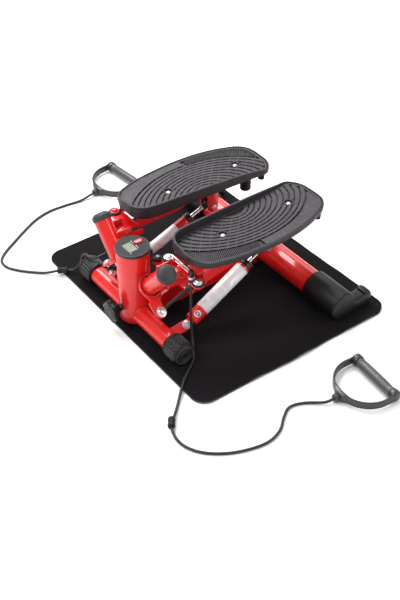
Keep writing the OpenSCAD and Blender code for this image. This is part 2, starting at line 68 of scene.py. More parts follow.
# ------------------------------------------------------------------ materials
def mat(name, color, rough=0.5, metal=0.0, coat=0.0, coat_rough=0.1, sheen=0.0, spec=0.5,
        var=0.0, var_scale=30.0, rough_var=0.0, bump=0.0, bump_scale=400.0, fine=0.0, fine_scale=2500.0,
        wear=0.0, wear_color=(0.3, 0.3, 0.3), transmission=0.0, emit=0.0):
    """A procedural finish: colour variation, roughness variation, two scales of surface relief and edge wear."""
    m = bpy.data.materials.new(name)
    m.use_nodes = True
    nt = m.node_tree
    nt.nodes.clear()
    out = nt.nodes.new("ShaderNodeOutputMaterial")
    b = nt.nodes.new("ShaderNodeBsdfPrincipled")
    nt.links.new(b.outputs[0], out.inputs[0])
    b.inputs["Base Color"].default_value = (*color, 1)
    b.inputs["Roughness"].default_value = rough
    b.inputs["Metallic"].default_value = metal
    b.inputs["Coat Weight"].default_value = coat
    b.inputs["Coat Roughness"].default_value = coat_rough
    b.inputs["Sheen Weight"].default_value = sheen
    b.inputs["Specular IOR Level"].default_value = spec
    b.inputs["Transmission Weight"].default_value = transmission
    tc = nt.nodes.new("ShaderNodeTexCoord")

    def noise(scale, detail=3.0, r=0.55):
        n = nt.nodes.new("ShaderNodeTexNoise")
        n.inputs["Scale"].default_value = scale
        n.inputs["Detail"].default_value = detail
        n.inputs["Roughness"].default_value = r
        nt.links.new(tc.outputs["Object"], n.inputs["Vector"])
        return n

    def ramp(src, lo, hi, a, c):
        r = nt.nodes.new("ShaderNodeMapRange")
        r.inputs["From Min"].default_value = lo
        r.inputs["From Max"].default_value = hi
        r.inputs["To Min"].default_value = a
        r.inputs["To Max"].default_value = c
        nt.links.new(src, r.inputs["Value"])
        return r.outputs[0]

    colour = None
    if var:
        n = noise(var_scale)
        mix = nt.nodes.new("ShaderNodeMix")
        mix.data_type = "RGBA"
        mix.inputs["A"].default_value = (*[c * (1 - var) for c in color], 1)
        mix.inputs["B"].default_value = (*[min(1, c * (1 + var)) for c in color], 1)
        nt.links.new(ramp(n.outputs["Fac"], 0.3, 0.7, 0, 1), mix.inputs["Factor"])
        colour = mix.outputs["Result"]
    if wear:
        g = nt.nodes.new("ShaderNodeNewGeometry")
        n2 = noise(90, 4)
        e = ramp(g.outputs["Pointiness"], 0.52, 0.60, 0, 1)
        mul = nt.nodes.new("ShaderNodeMath")
        mul.operation = "MULTIPLY"
        nt.links.new(e, mul.inputs[0])
        nt.links.new(ramp(n2.outputs["Fac"], 0.45, 0.65, 0, wear), mul.inputs[1])
        mix = nt.nodes.new("ShaderNodeMix")
        mix.data_type = "RGBA"
        if colour is None:
            mix.inputs["A"].default_value = (*color, 1)
        else:
            nt.links.new(colour, mix.inputs["A"])
        mix.inputs["B"].default_value = (*wear_color, 1)
        nt.links.new(mul.outputs[0], mix.inputs["Factor"])
        colour = mix.outputs["Result"]
    if colour is not None:
        nt.links.new(colour, b.inputs["Base Color"])
    if rough_var:
        n = noise(var_scale * 2.3, 4)
        nt.links.new(ramp(n.outputs["Fac"], 0.3, 0.7, max(0.02, rough - rough_var), min(1, rough + rough_var)), b.inputs["Roughness"])
    if bump or fine:
        normal = None
        for strength, scale, dist in ((bump, bump_scale, 0.0006), (fine, fine_scale, 0.0002)):
            if strength:
                n = noise(scale, 2)
                bp = nt.nodes.new("ShaderNodeBump")
                bp.inputs["Strength"].default_value = strength
                bp.inputs["Distance"].default_value = dist
                nt.links.new(n.outputs["Fac"], bp.inputs["Height"])
                if normal is not None:
                    nt.links.new(normal, bp.inputs["Normal"])
                normal = bp.outputs["Normal"]
        nt.links.new(normal, b.inputs["Normal"])
    m.diffuse_color = (*color, 1)
    return m


M = {}
M["red"] = mat("red_paint", (0.67, 0.010, 0.009), rough=0.45, coat=0.65, coat_rough=0.09, spec=0.2, var=0.05, var_scale=14,
               rough_var=0.05, bump=0.10, bump_scale=260, wear=0.25, wear_color=(0.30, 0.004, 0.004))
M["weld"] = mat("red_weld", (0.52, 0.009, 0.008), rough=0.36, coat=0.5, coat_rough=0.16, var=0.12, var_scale=60, bump=0.6, bump_scale=420)
M["tread"] = mat("tread_plastic", (0.0305, 0.0255, 0.0320), rough=0.55, spec=0.34, var=0.10, var_scale=22, rough_var=0.08,
                 bump=0.10, bump_scale=500, fine=0.5, fine_scale=2600, wear=0.30, wear_color=(0.085, 0.078, 0.085))
# a darker copy of the tread plastic for the pedal walls and groove floors: painted shade
M["pedal_body"] = mat("pedal_plastic_painted_shade", (0.021, 0.018, 0.020), rough=0.50, spec=0.34, var=0.10, var_scale=22, rough_var=0.08,
                     bump=0.06, bump_scale=500, fine=0.4, fine_scale=2600)
M["black"] = mat("black_plastic", (0.0065, 0.006, 0.0068), rough=0.38, var=0.15, var_scale=25, rough_var=0.08,
                 fine=0.35, fine_scale=2200, wear=0.35, wear_color=(0.05, 0.05, 0.052))
M["boot"] = mat("boot_plastic", (0.0040, 0.0036, 0.0042), rough=0.46, spec=0.32, var=0.15, var_scale=20, rough_var=0.06, fine=0.3, fine_scale=2000)
# a lighter copy of the cap plastic for the front caps' rib and ring flanks: painted highlight
M["boot_painted_highlight"] = mat("boot_painted_highlight", (0.045, 0.042, 0.046), rough=0.5, spec=0.4, var=0.2, var_scale=60)
M["display"] = mat("display_plastic", (0.0100, 0.0105, 0.0130), rough=0.42, spec=0.14, var=0.08, var_scale=30, rough_var=0.05, fine=0.35, fine_scale=3000)
M["cap"] = mat("cap_plastic", (0.032, 0.033, 0.037), rough=0.52, spec=0.35, var=0.08, var_scale=30, rough_var=0.06, fine=0.4, fine_scale=2600)
M["handle"] = mat("handle_plastic", (0.022, 0.019, 0.023), rough=0.32, spec=0.55, var=0.10, var_scale=30, rough_var=0.07, fine=0.4, fine_scale=2600,
                  wear=0.3, wear_color=(0.12, 0.12, 0.12))
M["grip"] = mat("grip_plastic", (0.064, 0.060, 0.067), rough=0.32, spec=0.5, var=0.08, var_scale=40, rough_var=0.06, fine=0.5, fine_scale=2400)
M["rubber"] = mat("rubber", (0.006, 0.006, 0.0062), rough=0.62, spec=0.3, var=0.2, var_scale=40, rough_var=0.1, fine=0.5, fine_scale=1600)
M["cord"] = mat("cord_latex", (0.016, 0.0165, 0.017), rough=0.48, spec=0.4, var=0.2, var_scale=60, rough_var=0.1, fine=0.5, fine_scale=1800)
M["zinc"] = mat("zinc_plate", (0.66, 0.66, 0.68), rough=0.34, metal=1.0, var=0.08, var_scale=90, rough_var=0.1, fine=0.25, fine_scale=1500)
M["chrome"] = mat("chrome", (0.86, 0.86, 0.88), rough=0.07, metal=1.0, var=0.03, var_scale=60, rough_var=0.03, fine=0.05, fine_scale=900)
M["knob"] = mat("knob_plastic", (0.0034, 0.0032, 0.0036), rough=0.34, spec=0.22, var=0.15, var_scale=25, rough_var=0.08, bump=0.08, bump_scale=900, fine=0.3, fine_scale=2200)
M["hook"] = mat("hook_zinc", (0.86, 0.86, 0.87), rough=0.42, metal=0.85, var=0.06, var_scale=90, rough_var=0.08, fine=0.2, fine_scale=1500)
M["nylon"] = mat("nylon", (0.72, 0.71, 0.66), rough=0.5, var=0.04, fine=0.3)
M["board"] = mat("circuit_board", (0.02, 0.16, 0.06), rough=0.45, coat=0.4, var=0.2, var_scale=200)
M["button"] = mat("button_red", (0.62, 0.030, 0.026), rough=0.35, coat=0.4, var=0.05, fine=0.3)
M["white"] = mat("white_ink", (0.80, 0.80, 0.80), rough=0.5, var=0.04)
M["lcd_frame"] = mat("lcd_frame", (0.006, 0.006, 0.007), rough=0.25, coat=0.5, var=0.1)
M["edge"] = mat("mat_edge", (0.050, 0.048, 0.050), rough=0.85, var=0.35, var_scale=300, bump=0.8, bump_scale=900)
M["blue"] = mat("sticker_ink", (0.05, 0.09, 0.24), rough=0.4, var=0.1)


def felt():
    m = bpy.data.materials.new("mat_felt")
    m.use_nodes = True
    nt = m.node_tree
    b = nt.nodes["Principled BSDF"]
    b.inputs["Roughness"].default_value = 0.93
    b.inputs["Specular IOR Level"].default_value = 0.15
    b.inputs["Sheen Weight"].default_value = 0.02
    b.inputs["Sheen Roughness"].default_value = 0.5
    tc = nt.nodes.new("ShaderNodeTexCoord")
    n1 = nt.nodes.new("ShaderNodeTexNoise"); n1.inputs["Scale"].default_value = 900; n1.inputs["Detail"].default_value = 4
    n2 = nt.nodes.new("ShaderNodeTexVoronoi"); n2.inputs["Scale"].default_value = 420
    n3 = nt.nodes.new("ShaderNodeTexNoise"); n3.inputs["Scale"].default_value = 6; n3.inputs["Detail"].default_value = 3
    for n in (n1, n2, n3):
        nt.links.new(tc.outputs["Object"], n.inputs["Vector"])
    r = nt.nodes.new("ShaderNodeValToRGB")
    r.color_ramp.elements[0].position = 0.42; r.color_ramp.elements[0].color = (0.00286, 0.00205, 0.00295, 1)
    r.color_ramp.elements[1].position = 0.78; r.color_ramp.elements[1].color = (0.01625, 0.01231, 0.01675, 1)
    nt.links.new(n1.outputs["Fac"], r.inputs["Fac"])
    mix = nt.nodes.new("ShaderNodeMix"); mix.data_type = "RGBA"; mix.blend_type = "MULTIPLY"
    mix.inputs["Factor"].default_value = 0.5
    nt.links.new(r.outputs["Color"], mix.inputs["A"])
    nt.links.new(n3.outputs["Fac"], mix.inputs["B"])
    nt.links.new(mix.outputs["Result"], b.inputs["Base Color"])
    b1 = nt.nodes.new("ShaderNodeBump"); b1.inputs["Strength"].default_value = 0.8; b1.inputs["Distance"].default_value = 0.0006
    nt.links.new(n2.outputs["Distance"], b1.inputs["Height"])
    b2 = nt.nodes.new("ShaderNodeBump"); b2.inputs["Strength"].default_value = 0.9; b2.inputs["Distance"].default_value = 0.0004
    nt.links.new(n1.outputs["Fac"], b2.inputs["Height"])
    nt.links.new(b1.outputs["Normal"], b2.inputs["Normal"])
    nt.links.new(b2.outputs["Normal"], b.inputs["Normal"])
    return m


def lcd():
    m = bpy.data.materials.new("lcd_glass")
    m.use_nodes = True
    nt = m.node_tree
    b = nt.nodes["Principled BSDF"]
    b.inputs["Roughness"].default_value = 0.55
    b.inputs["Specular IOR Level"].default_value = 0.3
    b.inputs["Coat Weight"].default_value = 0.04
    tc = nt.nodes.new("ShaderNodeTexCoord")
    n = nt.nodes.new("ShaderNodeTexNoise"); n.inputs["Scale"].default_value = 120; n.inputs["Detail"].default_value = 2
    nt.links.new(tc.outputs["Object"], n.inputs["Vector"])
    r = nt.nodes.new("ShaderNodeValToRGB")
    r.color_ramp.elements[0].position = 0.3; r.color_ramp.elements[0].color = (0.150, 0.160, 0.115, 1)
    r.color_ramp.elements[1].position = 0.7; r.color_ramp.elements[1].color = (0.215, 0.225, 0.165, 1)
    nt.links.new(n.outputs["Fac"], r.inputs["Fac"])
    nt.links.new(r.outputs["Color"], b.inputs["Base Color"])
    return m


def label():
    """Silver foil label with faint brushed streaks."""
    m = bpy.data.materials.new("label_silver")
    m.use_nodes = True
    nt = m.node_tree
    b = nt.nodes["Principled BSDF"]
    b.inputs["Metallic"].default_value = 0.12
    b.inputs["Roughness"].default_value = 0.40
    b.inputs["Coat Weight"].default_value = 0.35
    tc = nt.nodes.new("ShaderNodeTexCoord")
    n = nt.nodes.new("ShaderNodeTexNoise"); n.inputs["Scale"].default_value = 160; n.inputs["Detail"].default_value = 3
    nt.links.new(tc.outputs["Object"], n.inputs["Vector"])
    r = nt.nodes.new("ShaderNodeValToRGB")
    r.color_ramp.elements[0].position = 0.25; r.color_ramp.elements[0].color = (0.90, 0.89, 0.90, 1)
    r.color_ramp.elements[1].position = 0.75; r.color_ramp.elements[1].color = (0.97, 0.96, 0.97, 1)
    nt.links.new(n.outputs["Fac"], r.inputs["Fac"])
    nt.links.new(r.outputs["Color"], b.inputs["Base Color"])
    return m


M["felt"], M["lcd"], M["label"] = felt(), lcd(), label()
M["print"] = mat("label_print", (0.52, 0.52, 0.54), rough=0.5, var=0.05)


# ------------------------------------------------------------------ mesh tools (millimetres in, metres out)
class Geo:
    def __init__(self):
        self.v, self.f, self.m = [], [], []

    def add(self, v, f, mi=0, T=None):
        v = np.asarray(v, float)
        if T is not None:
            T = np.asarray(T, float)
            v = v @ T[:3, :3].T + T[:3, 3]
            if np.linalg.det(T[:3, :3]) < 0:
                f = [tuple(reversed(x)) for x in f]
        k = len(self.v)
        self.v += [tuple(p) for p in v]
        self.f += [tuple(i + k for i in x) for x in f]
        self.m += [mi] * len(f)
        return self

    def merge(self, g, T=None):
        for mi in sorted(set(g.m)):
            used = [f for f, q in zip(g.f, g.m) if q == mi]
            ids = sorted({i for f in used for i in f})
            back_ = {i: k for k, i in enumerate(ids)}
            self.add([g.v[i] for i in ids], [tuple(back_[i] for i in f) for f in used], mi, T)
        return self

    def obj(self, name, mats, body, replaces=(), angle=35, bevel=0.0, segs=2, mirror=False, fix=True):
        v = np.array(self.v, float) * MM
        f = self.f
        if mirror:
            v = v * np.array([-1, 1, 1])
            f = [tuple(reversed(x)) for x in f]
        me = bpy.data.meshes.new(name)
        me.from_pydata([tuple(p) for p in v], [], f)
        for mm in mats:
            me.materials.append(mm)
        me.polygons.foreach_set("material_index", self.m)
        bm = bmesh.new()
        bm.from_mesh(me)
        bmesh.ops.remove_doubles(bm, verts=bm.verts, dist=1e-7)
        if fix:
            bmesh.ops.recalc_face_normals(bm, faces=bm.faces)
        for fa in bm.faces:
            fa.smooth = True
        lim = math.radians(angle)
        for e in bm.edges:
            if len(e.link_faces) == 2:
                e.smooth = e.calc_face_angle(0) < lim
        bm.to_mesh(me)
        bm.free()
        me.update()
        o = bpy.data.objects.new(name, me)
        scene.collection.objects.link(o)
        if bevel:
            md = o.modifiers.new("bevel", "BEVEL")
            md.width = bevel * MM
            md.segments = segs
            md.limit_method = "ANGLE"
            md.angle_limit = math.radians(40)
            md.use_clamp_overlap = True
            md.harden_normals = False
        if body:
            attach(o, body)
        if replaces:
            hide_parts(*replaces)
        return o


def Tr(x=0, y=0, z=0):
    T = np.eye(4); T[:3, 3] = (x, y, z); return T


def Rot(axis, deg):
    return np.array(Matrix.Rotation(math.radians(deg), 4, axis))


MIRROR = np.diag([-1.0, 1, 1, 1])


def lathe(g, prof, n=48, T=None, mi=0, closed=False):
    """Revolves (radius, z) pairs round local Z. A radius of 0 at an end closes it."""
    prof = [(max(0.0, r), z) for r, z in prof]
    v, f, rows = [], [], []
    for r, z in prof:
        if r < 1e-6:
            rows.append([len(v)]); v.append((0, 0, z))
        else:
            rows.append(list(range(len(v), len(v) + n)))
            v += [(r * math.cos(2 * math.pi * k / n), r * math.sin(2 * math.pi * k / n), z) for k in range(n)]
    seq = list(zip(rows[:-1], rows[1:])) + ([(rows[-1], rows[0])] if closed else [])
    for a, b in seq:
        if len(a) == 1 and len(b) == 1:
            continue
        for k in range(n):
            j = (k + 1) % n
            if len(a) == 1:
                f.append((a[0], b[j], b[k]))
            elif len(b) == 1:
                f.append((a[k], a[j], b[0]))
            else:
                f.append((a[k], a[j], b[j], b[k]))
    g.add(v, f, mi, T)
    return g


def rings(g, loops, mi=0, T=None, cap0=True, cap1=True, close=False):
    """Skins closed loops of equal length."""
    n = len(loops[0])
    v = [p for lp in loops for p in lp]
    f = []
    m = len(loops)
    for i in range(m if close else m - 1):
        a, b = i * n, ((i + 1) % m) * n
        for k in range(n):
            j = (k + 1) % n
            f.append((a + k, a + j, b + j, b + k))
    if cap0 and not close:
        f.append(tuple(reversed(range(n))))
    if cap1 and not close:
        f.append(tuple((m - 1) * n + k for k in range(n)))
    g.add(v, f, mi, T)
    return g


def box(g, x0, x1, y0, y1, z0, z1, mi=0, T=None):
    v = [(x, y, z) for z in (z0, z1) for y in (y0, y1) for x in (x0, x1)]
    f = [(0, 2, 3, 1), (4, 5, 7, 6), (0, 1, 5, 4), (2, 6, 7, 3), (0, 4, 6, 2), (1, 3, 7, 5)]
    g.add(v, f, mi, T)
    return g


def rrect(w, d, r, n=6, cx=0, cy=0):
    r = min(r, w / 2 - 1e-3, d / 2 - 1e-3)
    pts = []
    for sx, sy, a0 in ((1, 1, 0), (-1, 1, 90), (-1, -1, 180), (1, -1, 270)):
        for k in range(n + 1):
            a = math.radians(a0 + 90 * k / n)
            pts.append((cx + sx * (w / 2 - r) + r * math.cos(a), cy + sy * (d / 2 - r) + r * math.sin(a)))
    return pts


def prism(g, pts, z0, z1, e=0.8, mi=0, T=None, top=None):
    """Extruded outline with softened top and bottom edges."""
    pts = np.array(pts, float)
    if area2(pts) < 0:
        pts = pts[::-1]
    i1, i2 = inset(pts, e * 0.35), inset(pts, e)
    lo = [(z0, i2), (z0 + e * 0.35, i1), (z0 + e, pts)]
    hi = [(z1 - e, pts), (z1 - e * 0.35, i1), (z1, i2)]
    rings(g, [[(x, y, z) for x, y in p] for z, p in lo + hi], mi, T)
    return g


def area2(p):
    p = np.asarray(p)
    q = np.roll(p, -1, 0)
    return float((p[:, 0] * q[:, 1] - q[:, 0] * p[:, 1]).sum())


def inset(p, d):
    """Moves each point of a counter-clockwise outline inward by d."""
    p = np.asarray(p, float)
    a, b = np.roll(p, 1, 0), np.roll(p, -1, 0)
    t1, t2 = p - a, b - p
    t1 /= np.maximum(np.linalg.norm(t1, axis=1), 1e-9)[:, None]
    t2 /= np.maximum(np.linalg.norm(t2, axis=1), 1e-9)[:, None]
    n1 = np.stack([-t1[:, 1], t1[:, 0]], 1)
    n2 = np.stack([-t2[:, 1], t2[:, 0]], 1)
    n = n1 + n2
    n /= np.maximum(np.linalg.norm(n, axis=1), 1e-9)[:, None]
    c = np.maximum(0.45, (n * n1).sum(1))
    dd = np.broadcast_to(np.asarray(d, float), (len(p),))
    return p + n * (dd / c)[:, None]


def catmull(pts, per=8, closed=True):
    p = np.array(pts, float)
    n = len(p)
    out = []
    for i in range(n if closed else n - 1):
        a, b, c, d = (p[(i - 1) % n], p[i], p[(i + 1) % n], p[(i + 2) % n]) if closed else \
            (p[max(i - 1, 0)], p[i], p[i + 1], p[min(i + 2, n - 1)])
        for k in range(per):
            t = k / per
            out.append(0.5 * (2 * b + (c - a) * t + (2 * a - 5 * b + 4 * c - d) * t * t + (3 * b - a - 3 * c + d) * t ** 3))
    if not closed:
        out.append(p[-1])
    return np.array(out)


def even(p, n, closed=True):
    q = np.vstack([p, p[:1]]) if closed else np.asarray(p, float)
    s = np.concatenate([[0], np.cumsum(np.linalg.norm(np.diff(q, axis=0), axis=1))])
    t = np.linspace(0, s[-1], n + 1 if closed else n)
    r = np.stack([np.interp(t, s, q[:, k]) for k in range(q.shape[1])], 1)
    return r[:-1] if closed else r


def frames(path):
    """Parallel-transport frames along a path."""
    p = np.asarray(path, float)
    t = np.gradient(p, axis=0)
    t /= np.linalg.norm(t, axis=1)[:, None]
    u = np.cross(t[0], (0.3, 0.2, 0.9))
    u /= np.linalg.norm(u)
    us = [u]
    for i in range(1, len(p)):
        u = us[-1] - t[i] * (us[-1] @ t[i])
        u /= np.linalg.norm(u)
        us.append(u)
    us = np.array(us)
    return p, t, us, np.cross(t, us)


def tube(g, path, r, n=12, mi=0, T=None, caps=True, close=False):
    p, t, u, w = frames(path)
    r = np.broadcast_to(np.asarray(r, float), (len(p),))
    loops = [[tuple(p[i] + r[i] * (math.cos(2 * math.pi * k / n) * u[i] + math.sin(2 * math.pi * k / n) * w[i])) for k in range(n)]
             for i in range(len(p))]
    rings(g, loops, mi, T, cap0=caps, cap1=caps, close=close)
    return g


def bead(g, path, r=1.9, closed=True, mi=0, pitch=2.6):
    """A weld bead: a ripple tube along a path."""
    path = np.asarray(path, float)
    q = np.vstack([path, path[:1]]) if closed else path
    L = np.linalg.norm(np.diff(q, axis=0), axis=1).sum()
    n = max(24, int(L / 1.1))
    p = even(path, n, closed)
    s = np.arange(len(p)) * (L / n)
    rr = r * (1 + 0.16 * np.sin(2 * math.pi * s / pitch) + 0.05 * np.sin(1.7 * s))
    c = p.mean(0)
    if closed:
        # frames round a closed loop, built from the loop's own normal
        t = np.roll(p, -1, 0) - np.roll(p, 1, 0)
        t /= np.linalg.norm(t, axis=1)[:, None]
        nrm = np.cross(p[0] - c, p[len(p) // 4] - c)
        nrm /= np.linalg.norm(nrm)
        u = np.cross(t, nrm)
        u /= np.linalg.norm(u, axis=1)[:, None]
        w = np.cross(t, u)
        loops = [[tuple(p[i] + rr[i] * (math.cos(2 * math.pi * k / 8) * u[i] + math.sin(2 * math.pi * k / 8) * w[i])) for k in range(8)]
                 for i in range(len(p))]
        rings(g, loops, mi, close=True)
    else:
        rr[0] = rr[-1] = r * 0.45
        tube(g, p, rr, 8, mi)
    return g


def ring_path(T, r, z=0.0, n=64):
    a = np.linspace(0, 2 * math.pi, n, endpoint=False)
    v = np.stack([r * np.cos(a), r * np.sin(a), np.full(n, z)], 1)
    T = np.asarray(T)
    return v @ T[:3, :3].T + T[:3, 3]


def hexhead(g, T, r=6.5, h=4.5, mi=0, washer=None, dome=True):
    """A hex bolt head with a chamfered crown, standing on local z=0."""
    if washer:
        lathe(g, [(0, 0), (washer, 0), (washer + 0.25, 0.3), (washer + 0.2, 1.1), (washer - 0.4, 1.5), (0, 1.5)], 40, T, mi)
        T = np.asarray(T) @ Tr(0, 0, 1.5)
    a = [math.radians(60 * k + 30) for k in range(6)]
    lo = [(r * math.cos(x), r * math.sin(x)) for x in a]
    loops = [[(x, y, 0) for x, y in lo], [(x, y, h * 0.82) for x, y in lo], [(x * 0.88, y * 0.88, h) for x, y in lo]]
    rings(g, loops, mi, T)
    if dome:
        lathe(g, [(0, h - 0.3), (r * 0.55, h - 0.3), (r * 0.5, h + 0.25), (r * 0.3, h + 0.45), (0, h + 0.5)], 24, T, mi)
    return g


def panhead(g, T, r=5.5, h=3.2, mi=0):
    """A cross-recessed pan head: domed crown with four low flanks round a sunk cross."""
    prof = [(0, 0), (r, 0), (r, h * 0.35), (r * 0.93, h * 0.62), (r * 0.78, h * 0.84), (r * 0.55, h * 0.97), (r * 0.36, h)]
    lathe(g, prof + [(r * 0.30, h - 1.1), (0, h - 1.4)], 32, T, mi)
    for k in range(4):
        box(g, r * 0.16, r * 0.34, -r * 0.13 + 0, r * 0.13, h - 1.3, h - 0.25, mi, np.asarray(T) @ Rot("Z", 90 * k + 45))
    return g


def cad_look(node, material, bevel=0.0, slot_name=None):
    o = N[node]
    o.data.materials.clear()
    o.data.materials.append(material)
    for p in o.data.polygons:
        p.material_index = 0
    return o


# ------------------------------------------------------------------ shared geometry
TILT = 41.0
AXIS_TOP = np.array([124.0, -198, 202])
ON_AXIS = Tr(*AXIS_TOP) @ Rot("Y", TILT)
P0 = np.array([115.0, -150, 32]); Q0 = np.array([99.5, 72, 130])
cu = (Q0 - P0) / np.linalg.norm(Q0 - P0)
cn = np.array([0.60, -0.20, 0.78]); cn = cn - (cn @ cu) * cu; cn /= np.linalg.norm(cn)
cm = np.cross(cu, cn)
ON_CYL = np.eye(4); ON_CYL[:3, 0], ON_CYL[:3, 1], ON_CYL[:3, 2], ON_CYL[:3, 3] = cn, cm, cu, P0
CYL_LEN = float(np.linalg.norm(Q0 - P0))
COL_Y, FRONT_Y, FRONT_Z, REAR_Y, REAR_Z = -200.0, -205.0, 30.0, 149.0, 38.0
ALONG_X = Rot("Y", 90)

# The right snap hook hangs ahead of its arm's plate (given on the +X side and mirrored)
HOOK_R = np.eye(4)
_z = np.array([0.02, -0.12, -0.99]); _z /= np.linalg.norm(_z)
_x = np.array([1.0, 0, 0]) - _z[0] * _z; _x /= np.linalg.norm(_x)
HOOK_R[:3, 0], HOOK_R[:3, 1], HOOK_R[:3, 2], HOOK_R[:3, 3] = _x, np.cross(_z, _x), _z, (148, -164, 161)
HOOK_R_END = (HOOK_R @ np.array([0, 0, 85.0, 1]))[:3] * np.array([-1, 1, 1])

# ------------------------------------------------------------------ cords
route_left = [(128, -146, 150), (130, -148, 110), (134, -151, 70), (142, -155, 34), (158, -164, 12), (184, -182, 7.2),
  (203, -207, 7.2), (222, -234, 7.4), (242, -256, 7.4), (270, -286, 4), (290, -308, 7), (300, -321, 8), (326, -334, 5), (356, -334, 3.2),
  (386, -320, 3.2), (413, -292, 3.2), (434, -253, 3.2), (446, -205, 3.2), (438, -166, 3.2), (416, -136, 3.2), (403, -110, 3.2),
  (412, -80, 3.2), (436, -50, 6), (442, -34, 9), (443, -25, 9)]
route_right = [(-154, -192, 65), (-160, -203, 62.5), (-170, -208, 61), (-182, -209, 61), (-192, -212, 53),
  (-196, -218, 32), (-205, -230, 13), (-214, -243, 12), (-226, -260, 11), (-243, -282, 5), (-266, -306, 3.2), (-292, -329, 3.2),
  (-318, -344, 3.2), (-346, -342, 3.2), (-368, -320, 3.2), (-390, -285, 3.2), (-412, -248, 3.2), (-436, -202, 3.2),
  (-448, -156, 3.2), (-446, -110, 3.2), (-440, -70, 4), (-441, -40, 8.4), (-443, -25, 9)]
cord_lengths = {}
for side, route, sgn in (("left", route_left, 1), ("right", route_right, -1)):
    if side == "left":
        pts = [(128, -145, 164), (128, -145.3, 158)] + route
    else:
        pts = [tuple(HOOK_R_END)] + [tuple(HOOK_R_END + HOOK_R[:3, 2] * 6 * np.array([-1, 1, 1]))] + route
    line = catmull(pts, 10, closed=False)
    line = even(line, 330, closed=False)
    g = Geo()
    tube(g, line, 2.95, 14)
    o = g.obj("elastic_cord_%s_skin" % side, [M["cord"]], None, ("elastic_cord_" + side,), angle=60)
    L = float(np.linalg.norm(np.diff(line, axis=0), axis=1).sum()) * MM
    cord_lengths[side] = L
    if side == "left":
        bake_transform(o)
    else:
        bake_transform(o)

# ------------------------------------------------------------------ stoppers on the cords
def stopper(name, pos, rot, sgn):
    g = Geo()
    T = Tr(*pos) @ Rot("Z", rot) @ ALONG_X @ Tr(0, 0, -12)
    lathe(g, [(3.1, 0), (5.2, 0), (6.6, 0.7), (7.35, 2.2), (7.5, 4), (7.5, 8.6), (7.1, 9.2), (7.1, 14.8), (7.5, 15.4), (7.5, 20),
              (7.35, 21.8), (6.6, 23.3), (5.2, 24), (3.1, 24)], 48, T, closed=True)
    return g.obj(name, [M["rubber"]], "root", ("cord_stoppers",), angle=50)


stopper("cord_stopper_left", (300, -321, 8), -37, 1)
stopper("cord_stopper_right", (-220, -252, 11.8), 55, -1)

# ------------------------------------------------------------------ mat
def make_mat():
    out = []
    W, D, R = 300, 250, 32
    for sx, sy, a0 in ((1, 1, 0), (-1, 1, 90), (-1, -1, 180), (1, -1, 270)):
        for k in range(13):
            a = math.radians(a0 + 90 * k / 12)
            out.append((sx * (W - R) + R * math.cos(a), sy * (D - R) + R * math.sin(a)))
    out = even(np.array(out), 560)
    # the mat isn't cut or laid perfectly straight: its near and rear edges wander by a few millimetres
    xs_ = np.interp(out[:, 1], [-250, -215, -154, -116, -66, -28, 26, 85, 138, 184, 222, 250], [0, 0.5, 2, 3.4, 6, 8.6, 9.2, 7.6, 9.6, 10.6, 11.5, 9])
    ys_ = np.interp(out[:, 0], [-300, -100, 0, 100, 187, 247, 284, 300], [0, 1, 2, 4, 6, 7, 6, 3])
    wx = np.clip((out[:, 0] - 180) / 110, 0, 1); wy = np.clip((out[:, 1] - 150) / 90, 0, 1)
    out = np.stack([out[:, 0] + wx * xs_, out[:, 1] + wy * ys_], 1)
    out = even(out, 560)

    def lift(x, y, z):
        """The near long edge and the corners lie a little off the floor, as a rubber mat does."""
        w = max(0.0, (x - 262) / 38.0) ** 2
        a = 0.9 * math.sin(y / 21.0 + 0.6) + 0.6 * math.sin(y / 9.5) + 0.8 * math.sin(y / 47.0 + 2)
        v = max(0.0, (abs(y) - 225) / 25.0) ** 2
        b = 0.35 * math.sin(x / 26.0 + 1.2) + 0.25 * math.sin(x / 11.0)
        return z + max(0.0, w * (a + 1.2) * 0.8) + max(0.0, v * (b + 0.4))

    g = Geo()
    loops = []
    scales = [0.0, 0.25, 0.5, 0.7, 0.8, 0.86, 0.9, 0.93, 0.955, 0.975, 0.988, 0.995]
    n = len(out)
    # top from the middle out, then the rounded edge, then the underside back in
    top = [(s, 4.0) for s in scales[1:]]
    for s, z in top:
        loops.append([(x * s, y * s, lift(x * s, y * s, z)) for x, y in out])
    o2 = inset(out, 0.5)
    loops.append([(x, y, lift(x, y, 3.9)) for x, y in o2])
    loops.append([(x, y, lift(x, y, 3.5)) for x, y in out])
    loops.append([(x, y, lift(x, y, 0.5)) for x, y in out])
    loops.append([(x, y, lift(x, y, 0.05)) for x, y in o2])
    for s, z in reversed(top):
        loops.append([(x * s, y * s, lift(x * s, y * s, 0.0)) for x, y in out])
    v = [p for lp in loops for p in lp]
    f, mi = [], []
    m = len(loops)
    nt_ = len(top)
    for i in range(m - 1):
        for k in range(n):
            j = (k + 1) % n
            f.append((i * n + k, i * n + j, (i + 1) * n + j, (i + 1) * n + k))
            mi.append(1 if nt_ <= i <= nt_ + 1 else 0)
    c0, c1 = len(v), len(v) + 1
    v += [(0, 0, 4.0), (0, 0, 0.0)]
    for k in range(n):
        j = (k + 1) % n
        f.append((c0, j, k)); mi.append(0)
        f.append((c1, (m - 1) * n + k, (m - 1) * n + j)); mi.append(0)
    g.v, g.f, g.m = [tuple(p) for p in v], f, mi
    o = g.obj("floor_mat_felt", [M["felt"], M["edge"]], "root", ("floor_mat",), angle=40)
    return o


make_mat()

# ------------------------------------------------------------------ base frame
g = Geo()
T = Tr(0, FRONT_Y, FRONT_Z) @ ALONG_X
lathe(g, [(17.5, -149), (20, -149), (20, -140), (20, 0), (20, 140), (20, 149), (17.5, 149)], 72, T, closed=True)
g.obj("front_cross_tube_skin", [M["red"]], "root", ("front_cross_tube",))

g = Geo()
T = Tr(0, REAR_Y, REAR_Z) @ ALONG_X
lathe(g, [(26.5, -204), (29, -204), (29, -182), (29, 0), (29, 182), (29, 204), (26.5, 204)], 84, T, closed=True)
g.obj("rear_cross_tube_skin", [M["red"]], "root", ("rear_cross_tube",))

